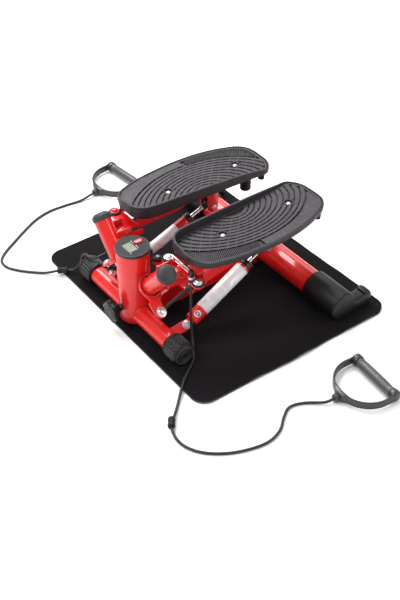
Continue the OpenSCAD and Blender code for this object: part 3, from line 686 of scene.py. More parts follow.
g = Geo()
sec = np.array(rrect(44, 50, 4.5, 6))
T = np.array([[1, 0, 0, 0], [0, 0, -1, 0], [0, 1, 0, 33], [0, 0, 0, 1.0]])
rings(g, [[(x, z, -yy) for x, z in sec] for yy in np.linspace(-168, 122, 12)], 0, T, cap0=False, cap1=False)
g.obj("spine_tube_skin", [M["red"]], "root", ("spine_tube",))

g = Geo()
T = Tr(0, COL_Y, 0)
lathe(g, [(0, 10.4), (30, 10.4), (31.5, 9.2), (33.6, 9.2), (34.7, 10.2), (35, 12), (35, 60), (35, 120), (35, 186.6), (34.6, 187.6), (33.2, 187.8), (32.6, 187.2), (32.6, 170)], 96, T)
g.obj("column_tube_skin", [M["red"]], "root", ("column_tube",))

# welds
g = Geo()
a = np.linspace(0, 2 * math.pi, 72, endpoint=False)
for sx in (1, -1):
    y = FRONT_Y + 20 * np.cos(a); z = FRONT_Z + 20 * np.sin(a)
    x = sx * np.sqrt(np.maximum(0, 35 ** 2 - (y - COL_Y) ** 2))
    bead(g, np.stack([x, y, z], 1), 2.2)
# spine to column and to the rear tube
s = []
for px, pz in even(sec, 90):
    s.append((px, COL_Y + math.sqrt(max(0, 35 ** 2 - px ** 2)), pz + 33))
bead(g, s, 2.2)
s = []
for px, pz in even(sec, 90):
    zz = pz + 33 - REAR_Z
    s.append((px, REAR_Y - math.sqrt(max(0, 29 ** 2 - zz ** 2)), pz + 33))
bead(g, s, 2.2)
# pivot shafts to the column
u3, v3, w3 = Rot("Y", TILT)[:3, 0], Rot("Y", TILT)[:3, 1], Rot("Y", TILT)[:3, 2]
for sx in (1, -1):
    s = []
    for k in a:
        q = AXIS_TOP + 8 * (math.cos(k) * u3 + math.sin(k) * v3)
        A = w3[0] ** 2 + w3[1] ** 2
        B = 2 * (q[0] * w3[0] + (q[1] - COL_Y) * w3[1])
        C = q[0] ** 2 + (q[1] - COL_Y) ** 2 - 35 ** 2
        t = (-B + math.sqrt(max(0, B * B - 4 * A * C))) / (2 * A)
        p = q + t * w3
        s.append((sx * p[0], p[1], p[2]))
    bead(g, s, 2.0)
g.obj("frame_welds", [M["weld"]], "root", angle=60)


# front end caps with axial ribs and turned rings on their faces
def front_cap(sx):
    g = Geo()
    n = 24 * 8
    ang = np.linspace(0, 2 * math.pi, n, endpoint=False)

    def loop(r, x, rib):
        k = (np.arange(n) % 8)
        prof = np.array([0, 0.25, 1, 1, 1, 1, 0.25, 0])[k]
        rr = r + rib * (prof - 1)
        return [(r_ * math.cos(t), r_ * math.sin(t), x) for r_, t in zip(rr, ang)]

    seq = [(20.1, 140, 0), (24.4, 140, 0), (25.5, 140.6, 0), (26, 142, 0), (26, 146.0, 0), (25.6, 146.8, 0), (25.9, 147.2, 1.3), (26, 148, 1.5),
           (26, 174, 1.5), (25.8, 176, 1.4), (25.6, 176.6, 0), (26, 177.2, 0), (26, 180.2, 0), (25.2, 182.4, 0), (23.4, 184.4, 0), (21.8, 185.4, 0),
           (20.2, 185.8, 0), (19.2, 185.1, 0), (18.2, 185.1, 0), (17.4, 185.9, 0), (14.8, 186, 0), (13.9, 185.2, 0), (12.9, 185.2, 0), (12.0, 186, 0),
           (9.4, 186, 0), (8.5, 185.2, 0), (7.5, 185.2, 0), (6.7, 186, 0), (3.5, 186, 0)]
    rings(g, [loop(*q) for q in seq], 0, Tr(0, FRONT_Y, FRONT_Z) @ ALONG_X, cap0=False, cap1=True)
    # a lighter plastic on the flanks of the ribs and of the rings on the end face: painted highlight
    for i, (q0, q1) in enumerate(zip(seq, seq[1:])):
        if min(q0[1], q1[1]) >= 185 and abs(q0[1] - q1[1]) > 0.3:
            g.m[i * n:(i + 1) * n] = [1] * n
        elif min(q0[2], q1[2]) > 1:
            for k_ in range(n):
                if k_ % 8 in (1, 5):
                    g.m[i * n + k_] = 1
    side = "left" if sx > 0 else "right"
    g.obj("front_cap_" + side, [M["boot"], M["boot_painted_highlight"]], "root", ("front_end_caps",), angle=28, mirror=sx < 0)
    g = Geo()
    panhead(g, Tr(144, FRONT_Y, FRONT_Z + 25.6), 3.8, 2.4)
    g.obj("front_cap_screw_" + side, [M["black"]], "root", ("cap_screws",), mirror=sx < 0, angle=40)


front_cap(1); front_cap(-1)


def boot(sx):
    side = "left" if sx > 0 else "right"
    g = Geo()
    T = Tr(0, REAR_Y, REAR_Z) @ ALONG_X
    lathe(g, [(29.1, 182), (33.0, 182), (33.8, 182.4), (34, 183.4), (34, 230), (34, 273.5), (33.7, 275.6), (32.8, 277.4), (31.2, 278.6), (29.2, 279), (14, 279), (0, 279)], 96, T)
    # foot: a rounded arm that reaches back from the boot's end, with a raised end pad
    secs = []
    for yy, w_, x_c, zt in ((150, 36, 260, 52), (172, 36, 260, 46), (186, 36, 260, 37), (200, 35, 260, 33.5), (214, 35, 260, 34.5), (224, 35, 260, 37), (231, 34, 259.5, 38), (234.4, 31, 259.5, 36.5), (235, 28, 259.5, 34)):
        rr_ = 9.0
        pts_ = rrect(w_, zt - 4, rr_, 6)
        secs.append([(x_c + px, yy, 4 + (zt - 4) / 2 + pz) for px, pz in pts_])
    rings(g, secs, 0)
    prism(g, rrect(27, 15, 5, 5, 259.5, 223.5), 33, 40.2, 1.4)
    g.obj("rear_boot_" + side, [M["boot"]], "root", ("rear_boots",), angle=35, mirror=sx < 0)


boot(1); boot(-1)

# ------------------------------------------------------------------ column: display, button, knob
for nm, mt in (("display_housing", "display"), ("display_window", "lcd"), ("display_board", "board"),
               ("battery_cell", "zinc"), ("pedal_sensor", "black"), ("knob_insert", "black"), ("pivot_shafts", "chrome"), ("shaft_nuts", "zinc"),
               ("equaliser_post", "zinc"), ("pivot_bushes_left", "nylon"), ("pivot_bushes_right", "nylon"),
               ("handle_cores", "black")):
    cad_look(nm, M[mt])
bv = N["display_housing"].modifiers.new("edge", "BEVEL")
bv.width = 0.0004; bv.segments = 2; bv.limit_method = "ANGLE"; bv.angle_limit = math.radians(50)

g = Geo()
lathe(g, [(35.2, 187.9), (36.6, 188.1), (37.1, 188.8), (37.2, 190.5), (37.1, 192.6), (36.6, 193.6), (35.8, 194.15), (34.9, 194.2), (34.5, 193.9), (34.5, 188.2)],
      120, Tr(0, COL_Y, 0), closed=True)
g.obj("display_rim", [M["black"]], "root", angle=50)
# dark bevelled surround of the window
g = Geo()
o1, o2_, o3, o4 = rrect(33.6, 23.6, 2.2, 5), rrect(32.6, 22.6, 1.8, 5), rrect(29.4, 19.4, 0.9, 5), rrect(29.2, 19.2, 0.8, 5)
T = Tr(0, COL_Y - 5.5, 0)
rings(g, [[(x, y, 193.9) for x, y in o1], [(x, y, 194.25) for x, y in o1], [(x, y, 194.45) for x, y in o2_],
          [(x, y, 193.75) for x, y in o3], [(x, y, 193.65) for x, y in o4]], 0, T, cap0=False, cap1=False)
g.obj("display_window_surround", [M["lcd_frame"]], "root", angle=30)
# small generic function marks beside the window
g = Geo()
for (mx, my, w, d) in ((-14.5, 7.6, 3.4, 1.2), (-8.6, 7.6, 2.4, 1.2), (4.4, 7.6, 3.2, 1.2), (9.8, 7.6, 2.4, 1.2), (18.6, -15.5, 1.6, 1.6)):
    box(g, mx - w / 2, mx + w / 2, my - d / 2, my + d / 2, 193.95, 194.06, 0, Tr(0, COL_Y, 0))
g.obj("display_marks", [M["white"]], "root")

g = Geo()
T = Tr(-5, COL_Y + 18.5, 0)
pp = rrect(12, 19, 5, 9)
lv = [(0, 190.8), (0, 195.4), (0.25, 196.2), (0.8, 196.8), (1.6, 197.2), (2.6, 197.42), (3.8, 197.5), (5.0, 197.5)]
base_ = np.array(pp)
rings(g, [[(x, y, z) for x, y in inset(base_, d)] for d, z in lv], 0, T)
rings(g, [[(x, y, z) for x, y in rrect(13, 20.4, 5.7, 9)] for z in (189.5, 190.8)], 0, T)
lathe(g, [(0, 183), (1.5, 183), (1.5, 189.6), (0, 189.6)], 20, T)
g.obj("display_button_cap", [M["button"]], "button", ("display_button",), angle=50)
# return spring: a coil round the button's stem
g = Geo()
coil = [(-5 + 2.9 * math.cos(q), COL_Y + 18.5 + 2.9 * math.sin(q), 183.15 + 5.7 * max(0.0, min(1.0, (q - 4) / (2 * math.pi * 5 - 8)))) for q in np.linspace(0, 2 * math.pi * 5, 160)]
tube(g, coil, 0.42, 8)
spring_coil = g.obj("button_spring_coil", [M["zinc"]], None, ("button_spring",))
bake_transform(spring_coil)

g = Geo()
n = 120
ph = np.linspace(0, 2 * math.pi, n, endpoint=False)
lob = np.cos(6 * (ph - math.radians(11)))
shape = 24.6 + 1.9 * np.sign(lob) * np.abs(lob) ** 0.7


def kl(y, f, blend_=1.0):
    r = (shape * blend_ + 22.0 * (1 - blend_)) * f
    return [(r_ * math.cos(t), y, -r_ * math.sin(t)) for r_, t in zip(r, ph)]


T = Tr(0, COL_Y, 48)
rings(g, [kl(-53.2, 0.80), kl(-53.6, 0.90), kl(-54.8, 0.97), kl(-56.6, 1.0), kl(-61.6, 1.0), kl(-63.8, 0.98), kl(-65.2, 0.93), kl(-65.9, 0.86, 0.8),
          kl(-66.2, 0.80, 0.3), kl(-66.1, 0.76, 0.1), kl(-65.0, 0.73, 0), kl(-64.9, 0.68, 0), kl(-66, 0.645, 0), kl(-66.2, 0.60, 0), kl(-66.2, 0.42, 0),
          kl(-65.2, 0.39, 0), kl(-65.2, 0.34, 0), kl(-66.1, 0.31, 0), kl(-66.2, 0.12, 0)], 0, T)
TK = T @ Rot("X", 90)
lathe(g, [(0, 41), (8.2, 41), (9, 41.8), (9, 52), (10.5, 54), (0, 54)], 40, TK)
g.obj("tension_knob_skin", [M["knob"]], "knob", ("tension_knob",), angle=45)
g = Geo()
lathe(g, [(0, 33), (5, 33), (5, 41.5), (0, 41.5)], 32, TK)
g.obj("tension_screw", [M["zinc"]], "knob")

# ------------------------------------------------------------------ cylinder lugs and lower bolts
def lugs(sx):
    side = "left" if sx > 0 else "right"
    L = ON_CYL @ Rot("X", -106)
    g = Geo()
    for x0, x1 in ((6.5, 10.5), (-10.5, -6.5)):
        arc = [(11 * math.cos(t), 11 * math.sin(t)) for t in np.linspace(math.pi, 2 * math.pi, 21)]
        pts = arc + [(11, 30), (10.4, 44), (-10.4, 44), (-11, 30)]
        pts = [(p[0], p[1]) for p in pts]
        prism(g, pts, x0, x1, 0.7, 0, L @ Rot("Y", 90))
    o = g.obj("cylinder_lugs_" + side, [M["red"]], "root", ("cylinder_lugs",), mirror=sx < 0)
    g = Geo()
    for xx in (6.2, 10.8, -6.2, -10.8):
        # a bead where the plate meets the front tube
        pts = []
        for v in np.linspace(-9.5, 9.5, 15):
            # follow the plate's line down until it meets the tube
            best = None
            for w in np.linspace(10, 46, 120):
                q = (L @ Rot("Y", 90) @ np.array([v, w, xx, 1]))[:3]
                dd = math.hypot(q[1] - FRONT_Y, q[2] - FRONT_Z) - 20
                if dd <= 0:
                    best = q
                    break
            if best is not None:
                pts.append(best)
        if len(pts) > 5:
            bead(g, pts, 1.5, closed=False)
    if g.v:
        g.obj("lug_welds_" + side, [M["weld"]], "root", mirror=sx < 0, angle=60)
    g = Geo()
    BX = ON_CYL @ Rot("Y", 90)
    lathe(g, [(0, -16), (5, -16), (5, 11), (0, 11)], 32, BX)
    hexhead(g, BX @ Tr(0, 0, 10.5), 7.6, 4.2, 0, washer=9.0)
    hexhead(g, BX @ Rot("X", 180) @ Tr(0, 0, 10.5), 7.4, 4.6, 0)
    g.obj("cylinder_lower_bolt_" + side, [M["zinc"]], "root", ("cylinder_lower_bolts",), mirror=sx < 0, angle=30)


lugs(1); lugs(-1)

# ------------------------------------------------------------------ equaliser bar and link rods
PZ = 58.0
g = Geo()
pts = [(60 + 12 * math.cos(t), 12 * math.sin(t)) for t in np.linspace(-math.pi / 2, math.pi / 2, 25)] + \
      [(-60 - 12 * math.cos(t), -12 * math.sin(t)) for t in np.linspace(-math.pi / 2, math.pi / 2, 25)]
prism(g, pts, PZ + 4, PZ + 12, 1.1, 0, Tr(0, -98, 0))
g.obj("equaliser_bar_skin", [M["red"]], "equaliser", ("equaliser_bar",))
g = Geo()
for s_ in (-1, 1):
    lathe(g, [(0, PZ + 4), (4, PZ + 4), (4, PZ + 23.6), (3.2, PZ + 24.4), (0, PZ + 24.4)], 32, Tr(60 * s_, -98, 0))
    lathe(g, [(4, PZ + 11.9), (7.6, PZ + 11.9), (7.6, PZ + 12.3), (4, PZ + 12.3)], 32, Tr(60 * s_, -98, 0), closed=True)
g.obj("equaliser_pins", [M["zinc"]], "equaliser")

ca, sa = math.cos(math.radians(TILT)), math.sin(math.radians(TILT))
CR = 58.0
link_a = AXIS_TOP - 115.5 * np.array([sa, 0, ca]) + CR * np.array([ca, 0, -sa]) + np.array([0, -4, 0])
link_b = np.array([60, -98, PZ + 4 + 12.4])
lu = (link_b - link_a); LL = float(np.linalg.norm(lu)); lu /= LL
for sx, side in ((1, "left"), (-1, "right")):
    g = Geo()
    TA = Tr(*link_a) @ Rot("Y", TILT)
    TB = Tr(*link_b)
    lathe(g, [(6.2, -3.9), (8.9, -3.9), (9.7, -3.3), (10, -2.4), (10, 2.4), (9.7, 3.3), (8.9, 3.9), (6.2, 3.9)], 48, TA, closed=True)
    lathe(g, [(4.2, -3.9), (8.0, -3.9), (8.8, -3.3), (9, -2.4), (9, 2.4), (8.8, 3.3), (8.0, 3.9), (4.2, 3.9)], 48, TB, closed=True)
    pth = [link_a + lu * t for t in np.linspace(8.2, LL - 7.2, 10)]
    tube(g, pth, [4.6, 4.2] + [4.0] * 6 + [4.1, 4.4], 20)
    g.obj("link_rod_%s_skin" % side, [M["black"]], "link_" + side, ("link_rod_" + side,), mirror=sx < 0, angle=50)


# ------------------------------------------------------------------ pivot sleeves, caps, arm frames
def arm(sx):
    side = "left" if sx > 0 else "right"
    body = "arm_" + side
    mir = sx < 0
    g = Geo()
    lathe(g, [(16, -101.6), (18.2, -102), (19, -101), (19, -60), (19, -5), (18, -4), (16, -4)], 72, ON_AXIS, closed=True)
    g.obj("pivot_sleeve_%s_skin" % side, [M["red"]], body, ("pivot_sleeve_" + side,), mirror=mir)
    g = Geo()
    lathe(g, [(19.05, -14), (20.1, -14), (20.5, -13.4), (20.55, -12), (20.5, -6.2), (20.3, -4.9), (19.7, -3.4), (18.4, -1.5), (16.6, 0.2), (14, 1.6), (11, 2.6), (7.6, 3.2),
              (4, 3.5), (0, 3.6)], 84, ON_AXIS)
    g.obj("sleeve_cap_%s_skin" % side, [M["cap"]], body, ("sleeve_cap_" + side,), mirror=mir, angle=55)

    g = Geo()
    # channel: a pressed U section with its open side down
    R, t = 6.0, 2.5
    x0, z1 = 82.0, 199.0
    loops = []
    for y in [-132, -110, -80, -60, -40, -30, -22, -12, 0, 20, 40, 60, 75, 90, 105, 120, 135, 150]:
        x1 = float(np.interp(y, [-132, -40, 60, 150], [152, 138, 130, 124]))
        z0 = float(np.interp(y, [-22, 60], [161, 181.6]))
        outer = [(x0, z0)] + [(x0 + R - R * math.cos(q), z1 - R + R * math.sin(q)) for q in np.linspace(0, math.pi / 2, 8)] + \
                [(x1 - R + R * math.sin(q), z1 - R + R * math.cos(q)) for q in np.linspace(0, math.pi / 2, 8)] + [(x1, z0)]
        r2 = R - t
        inner = [(x1 - t, z0)] + [(x1 - t - r2 + r2 * math.cos(q), z1 - t - r2 + r2 * math.sin(q)) for q in np.linspace(0, math.pi / 2, 8)] + \
                [(x0 + t + r2 - r2 * math.sin(q), z1 - t - r2 + r2 * math.cos(q)) for q in np.linspace(0, math.pi / 2, 8)] + [(x0 + t, z0)]
        loops.append([(x, y, z) for x, z in outer + inner])
    rings(g, loops, 0)
    # front plate with its notch, tongue and rounded corners
    def arc_(cx, cy, r, a0, a1, k=9):
        return [(cx + r * math.cos(math.radians(q)), cy + r * math.sin(math.radians(q))) for q in np.linspace(a0, a1, k)]
    tongue = [(70, -160), (70, -180), (76, -186), (106, -186), (112, -180), (112, -161), (114, -158)]
    right_end = [(150, -157)] + arc_(152, -145, 12, -80, 60) + [(156, -128)]
    if mir:
        fp = [(84, -128), (84, -158)] + [(84.0, -159)] + tongue[1:] + [(144, -157.5)] + right_end
        fp[2:4] = [(70, -158), (70, -180)]
        fp = [(84, -128), (84, -156), (70, -158)] + tongue[1:] + [(144, -157.6)] + right_end
    else:
        left_end = [(46, -128)] + arc_(50, -145, 12, 110, 275, 11) + [(66, -157.6)]
        fp = left_end + tongue + [(115.0, -157.6), (115.2, -138.6), (117, -137), (139, -137), (141, -138.6), (141.2, -157.4)] + right_end
    prism(g, fp, 163, 167, 0.7)
    if mir:
        # the cord slot of the far arm is a plain round hole, shown by its rolled rim
        lathe(g, [(4.6, 166.9), (5.0, 167.5), (6.2, 167.5), (6.7, 166.9)], 32, Tr(128, -146, 0), closed=True)
    for xx in (70.0, 108.0):
        TT = np.array([[0, 0, 1.0, xx], [1, 0, 0, 0], [0, 1, 0, 0], [0, 0, 0, 1]])
        prism(g, [(-190, 150), (-155, 150), (-126, 150), (-126, 163.5), (-154, 165), (-154, 176), (-158, 182), (-190, 182)], 0, 4, 0.6, 0, TT)
    # crank plate round the sleeve's foot
    A_ = [(24 * math.cos(q), 24 * math.sin(q)) for q in np.linspace(math.radians(98), math.radians(285), 36)]
    A_ += [(14, -20.4), (21, -16.4), (26.5, -14.2), (29, -15.4), (30.2, -18.4), (33.5, -19.6), (46, -19.2), (53, -18.6)]
    A_ += [(CR + 13.0 * math.cos(q), -5 + 13.0 * math.sin(q)) for q in np.linspace(math.radians(-100), math.radians(62), 20)]
    A_ += [(54, 7.4), (45, 6.0), (38, 6.6), (32, 9), (28, 13.5), (25.8, 20), (25.2, 30), (24.2, 33.6), (21.4, 35.4), (17.6, 35.2), (15.4, 32.6), (14.4, 27), (11, 24.4), (4, 24.2)]
    prism(g, A_, -107.5, -102, 0.8, 0, ON_AXIS)
    lathe(g, [(20.2, -103), (22.3, -103), (22.6, -97.2), (23.0, -95.9), (23.7, -95.5), (24.5, -95.8), (24.8, -96.8), (24.5, -99), (24.1, -103), (23.9, -106), (23.2, -107.3),
              (20.2, -107.3)], 84, ON_AXIS, closed=True)
    # hook ear
    if mir:
        TT = np.array([[0, 0, 1.0, 146], [1, 0, 0, 0], [0, 1, 0, 0], [0, 0, 0, 1]])
        ear = [(-157.4, 160), (-157.4, 170.6)] + [(-162.5 + 6 * math.cos(q), 164.9 + 6 * math.sin(q)) for q in np.linspace(math.radians(80), math.radians(270), 14)]
        prism(g, ear, 0, 4, 0.6, 0, TT)
    TT = np.array([[0, 0, 1.0, 68.5], [1, 0, 0, 0], [0, 1, 0, 0], [0, 0, 0, 1]])
    ear = [(-151, 166.5), (-139, 166.5), (-139, 174)] + [(-145 + 6 * math.cos(q), 175.5 + 5.4 * math.sin(q)) for q in np.linspace(0, math.pi, 12)] + [(-151, 174)]
    if not mir:
        prism(g, ear, 0, 4, 0.6, 0, TT)
    # upper bracket of the cylinder
    for xa in (80.5, 108.5):
        TT = np.array([[0, 0, 1.0, xa], [1, 0, 0, 0], [0, 1, 0, 0], [0, 0, 0, 1]])
        br = [(58, 196), (58, 133)] + [(72 + 14 * math.cos(q), 130 + 14 * math.sin(q)) for q in np.linspace(math.pi, 2 * math.pi, 18)] + [(86, 133), (86, 196)]
        prism(g, br[::-1], 0, 4, 0.6, 0, TT)
    g.obj("arm_frame_%s_skin" % side, [M["red"]], body, ("arm_frame_" + side,), mirror=mir, angle=32)

    g = Geo()
    bead(g, ring_path(ON_AXIS, 19.4, -101.6, 80), 1.8)
    for yy, za in ((-154.6, 182), ):
        pass
    bead(g, [(x, -130.6, 167.4) for x in np.linspace(84, 113, 20)], 1.7, closed=False)
    bead(g, [(x, -130.6, 167.4) for x in np.linspace(143, 151, 8)], 1.5, closed=False)
    for xx in (69.6, 112.4):
        bead(g, [(xx, y, 167.2) for y in np.linspace(-184, -160, 14)], 1.3, closed=False)
    for xx in (76.0, 104.0):
        pass
    g.obj("arm_welds_" + side, [M["weld"]], body, mirror=mir, angle=60)

    # bolts
    g = Geo()
    B = ON_AXIS @ Tr(CR, -4, 0)
    lathe(g, [(0, -128), (4, -128), (4, -101), (0, -101)], 32, B)
    lathe(g, [(0, -102), (10.6, -102), (11, -101.6), (10.9, -100.6), (9.8, -100.3), (8.4, -100.2), (8.3, -98.6), (7.7, -97.2), (6.4, -96.2), (4.4, -95.5), (2, -95.2), (0, -95.1)], 56, B)
    hexhead(g, B @ Tr(0, 0, -123.5) @ Rot("X", 180), 7.2, 4.6)
    U = Tr(0, 72, 130) @ ALONG_X
    lathe(g, [(0, 76), (4, 76), (4, 117), (0, 117)], 32, U)
    hexhead(g, U @ Tr(0, 0, 112.5), 7.4, 4.2, 0)
    hexhead(g, U @ Tr(0, 0, 80.5) @ Rot("X", 180), 7.2, 4.4, 0)
    g.obj("arm_bolts_%s_skin" % side, [M["zinc"]], body, ("arm_bolts_" + side,), mirror=mir, angle=35)

    # front pads and their bolts
    g = Geo()
    for xx in ((152,) if mir else (50, 152)):
        lathe(g, [(0, 167.02), (12.4, 167.02), (13, 167.6), (13, 169.6), (12.6, 170.6), (11.6, 171), (8.2, 171), (0, 171)], 56, Tr(xx, -145, 0))
    g.obj("front_pads_%s_skin" % side, [M["rubber"]], body, ("front_pads_" + side,), mirror=mir, angle=40)
    g = Geo()
    for xx in ((152,) if mir else (50, 152)):
        T_ = Tr(xx, -145, 0)
        lathe(g, [(0, 171), (9.4, 171), (9.8, 171.3), (9.7, 172.1), (9.2, 172.4), (7.4, 172.5), (7.3, 173.9), (6.7, 175.0), (5.5, 175.9), (3.4, 176.5), (0, 176.7)], 48, T_)
        lathe(g, [(0, 158), (4, 158), (4, 167.4), (0, 167.4)], 24, T_)
        hexhead(g, T_ @ Tr(0, 0, 163) @ Rot("X", 180), 7.0, 5.0, 0)
    g.obj("front_pad_bolts_" + side, [M["red"] if mir else M["zinc"]], body, mirror=mir, angle=35)

    # bumper
    g = Geo()
    lathe(g, [(0, 142), (9.4, 142), (11.4, 142.7), (12.5, 144.3), (12.8, 146.5), (12.8, 152), (12.1, 153), (12.1, 154.6), (12.8, 155.6), (12.8, 165), (12.1, 166), (12.1, 167.6), (12.8, 168.6),
              (12.8, 198.2), (12.2, 199), (4, 199), (4, 203), (0, 203)], 56, Tr(79, 163, 0))
    g.obj("rear_bumper_%s_skin" % side, [M["rubber"]], body, ("rear_bumper_" + side,), mirror=mir, angle=40)

    # snap hook: a bent wire with a screw sleeve, and the ferrule that ends the cord.
    # Local Z runs from the bend to the ferrule
    if mir:
        HK, fz, FT = HOOK_R, 62.0, HOOK_R
    else:
        HK = np.eye(4)
        HK[:3, 0], HK[:3, 1], HK[:3, 2], HK[:3, 3] = (0, 0, -1), (0, 1, 0), (1, 0, 0), (62, -145, 179.5)
        fz, FT = 62.0, Tr(128, -145, 187) @ Rot("X", 180) @ Tr(0, 0, -62)
    g = Geo()
    tipz = 63.0 if not mir else 62.6
    wire = [(4.0, 0, z) for z in np.linspace(tipz, 1, 14)] + [(4.0 * math.cos(q), 0, -4.0 * math.sin(q)) for q in np.linspace(0, math.pi, 14)] + \
           [(-4.0, 0, z) for z in np.linspace(1, tipz, 14)]
    tube(g, wire, 1.6, 14, 0, HK)
    T_ = HK @ Tr(-4.0, 0, 22)
    lathe(g, [(1.4, 0), (2.3, 0), (2.8, 0.5), (2.8, 17.5), (2.3, 18), (1.4, 18)], 28, T_, closed=True)
    for k in range(5):
        lathe(g, [(2.7, 3 + k * 2.8), (3.0, 3.3 + k * 2.8), (3.0, 4.3 + k * 2.8), (2.7, 4.6 + k * 2.8)], 28, T_, closed=True)
    for zc in ((79.0, 81.8) if not mir else ()):
        lathe(g, [(5.6, zc - 1.3), (6.5, zc - 1.0), (6.9, zc), (6.5, zc + 1.0), (5.6, zc + 1.3)], 40, FT, closed=True)
    g.obj("snap_hook_%s_skin" % side, [M["hook"]], body, ("snap_hook_" + side,), mirror=mir, angle=50)
    g = Geo()
    lathe(g, [(0, 62), (3.4, 62.2), (5.2, 63.2), (6, 65.4), (6, 82.6), (5.5, 84.2), (4.4, 85), (0, 85)], 44, FT)
    g.obj("cord_ferrule_" + side, [M["black"]], body, mirror=mir, angle=50)


arm(1); arm(-1)

# ------------------------------------------------------------------ pedals
PED = [(30, 183, 1.5), (43, 200, 0), (62, 209, 0), (86, 211, 0), (110, 211, 0), (130, 206, 0), (149, 189, 0), (160, 165, 0), (171, 133, 0), (180, 86, 0),
       (183, 30, 0), (181.5, -12, 0), (177, -58, 0), (170, -90, 0), (161, -120, 0.4), (149, -135, 2.2), (139, -143, 4.6), (118, -150, 9.0), (95, -150, 13.2),
       (76, -149, 15.8), (62, -142, 17), (51, -128, 17.4), (46, -106, 17.4), (42.5, -47, 16), (39.5, 14, 14), (37, 65, 11.8), (35, 105, 9.4), (32, 150, 5.4)]
SCREWS = [(96.0, -40.0), (92.0, 141.0)]
TOPZ, FLOORZ = 212.0, 206.6


def pedal_outline(n=420):
    c = catmull(PED, 14)
    c = even(c, n)
    if area2(c[:, :2]) < 0:
        c = c[::-1].copy()
    c[:, 2] = np.maximum(0, c[:, 2])
    # soften the height along the outline
    for _ in range(3):
        c[:, 2] = (np.roll(c[:, 2], 1) + 2 * c[:, 2] + np.roll(c[:, 2], -1)) / 4
    return c


def point_in(poly, x, y):
    px, py = poly[:, 0], poly[:, 1]
    qx, qy = np.roll(px, -1), np.roll(py, -1)
    c = ((py > y) != (qy > y)) & (x < (qx - px) * (y - py) / np.where(qy == py, 1e-9, (qy - py)) + px)
    return bool(c.sum() % 2)


def smooth_inset(p, d):
    """Inset that stays clean for a wide offset."""
    q = p.copy()
    steps = max(1, int(math.ceil(d / 2.0)))
    for _ in range(steps):
        q = inset(q, d / steps)
        q = even(q, len(p))
    return q


def near_dist(poly, x, y):
    a, b = poly, np.roll(poly, -1, 0)
    d = b - a
    t = np.clip(((x - a[:, 0]) * d[:, 0] + (y - a[:, 1]) * d[:, 1]) / np.maximum((d ** 2).sum(1), 1e-9), 0, 1)
    c = a + d * t[:, None]
    return float(np.min(np.hypot(c[:, 0] - x, c[:, 1] - y)))


A_AX = [35, 44, 52.6, 61.5, 70, 78.5, 87.3, 96, 105, 113.5, 122.3, 130.4]
B_AX = [53 + (a_ - 48) * 1.654 for a_ in A_AX]


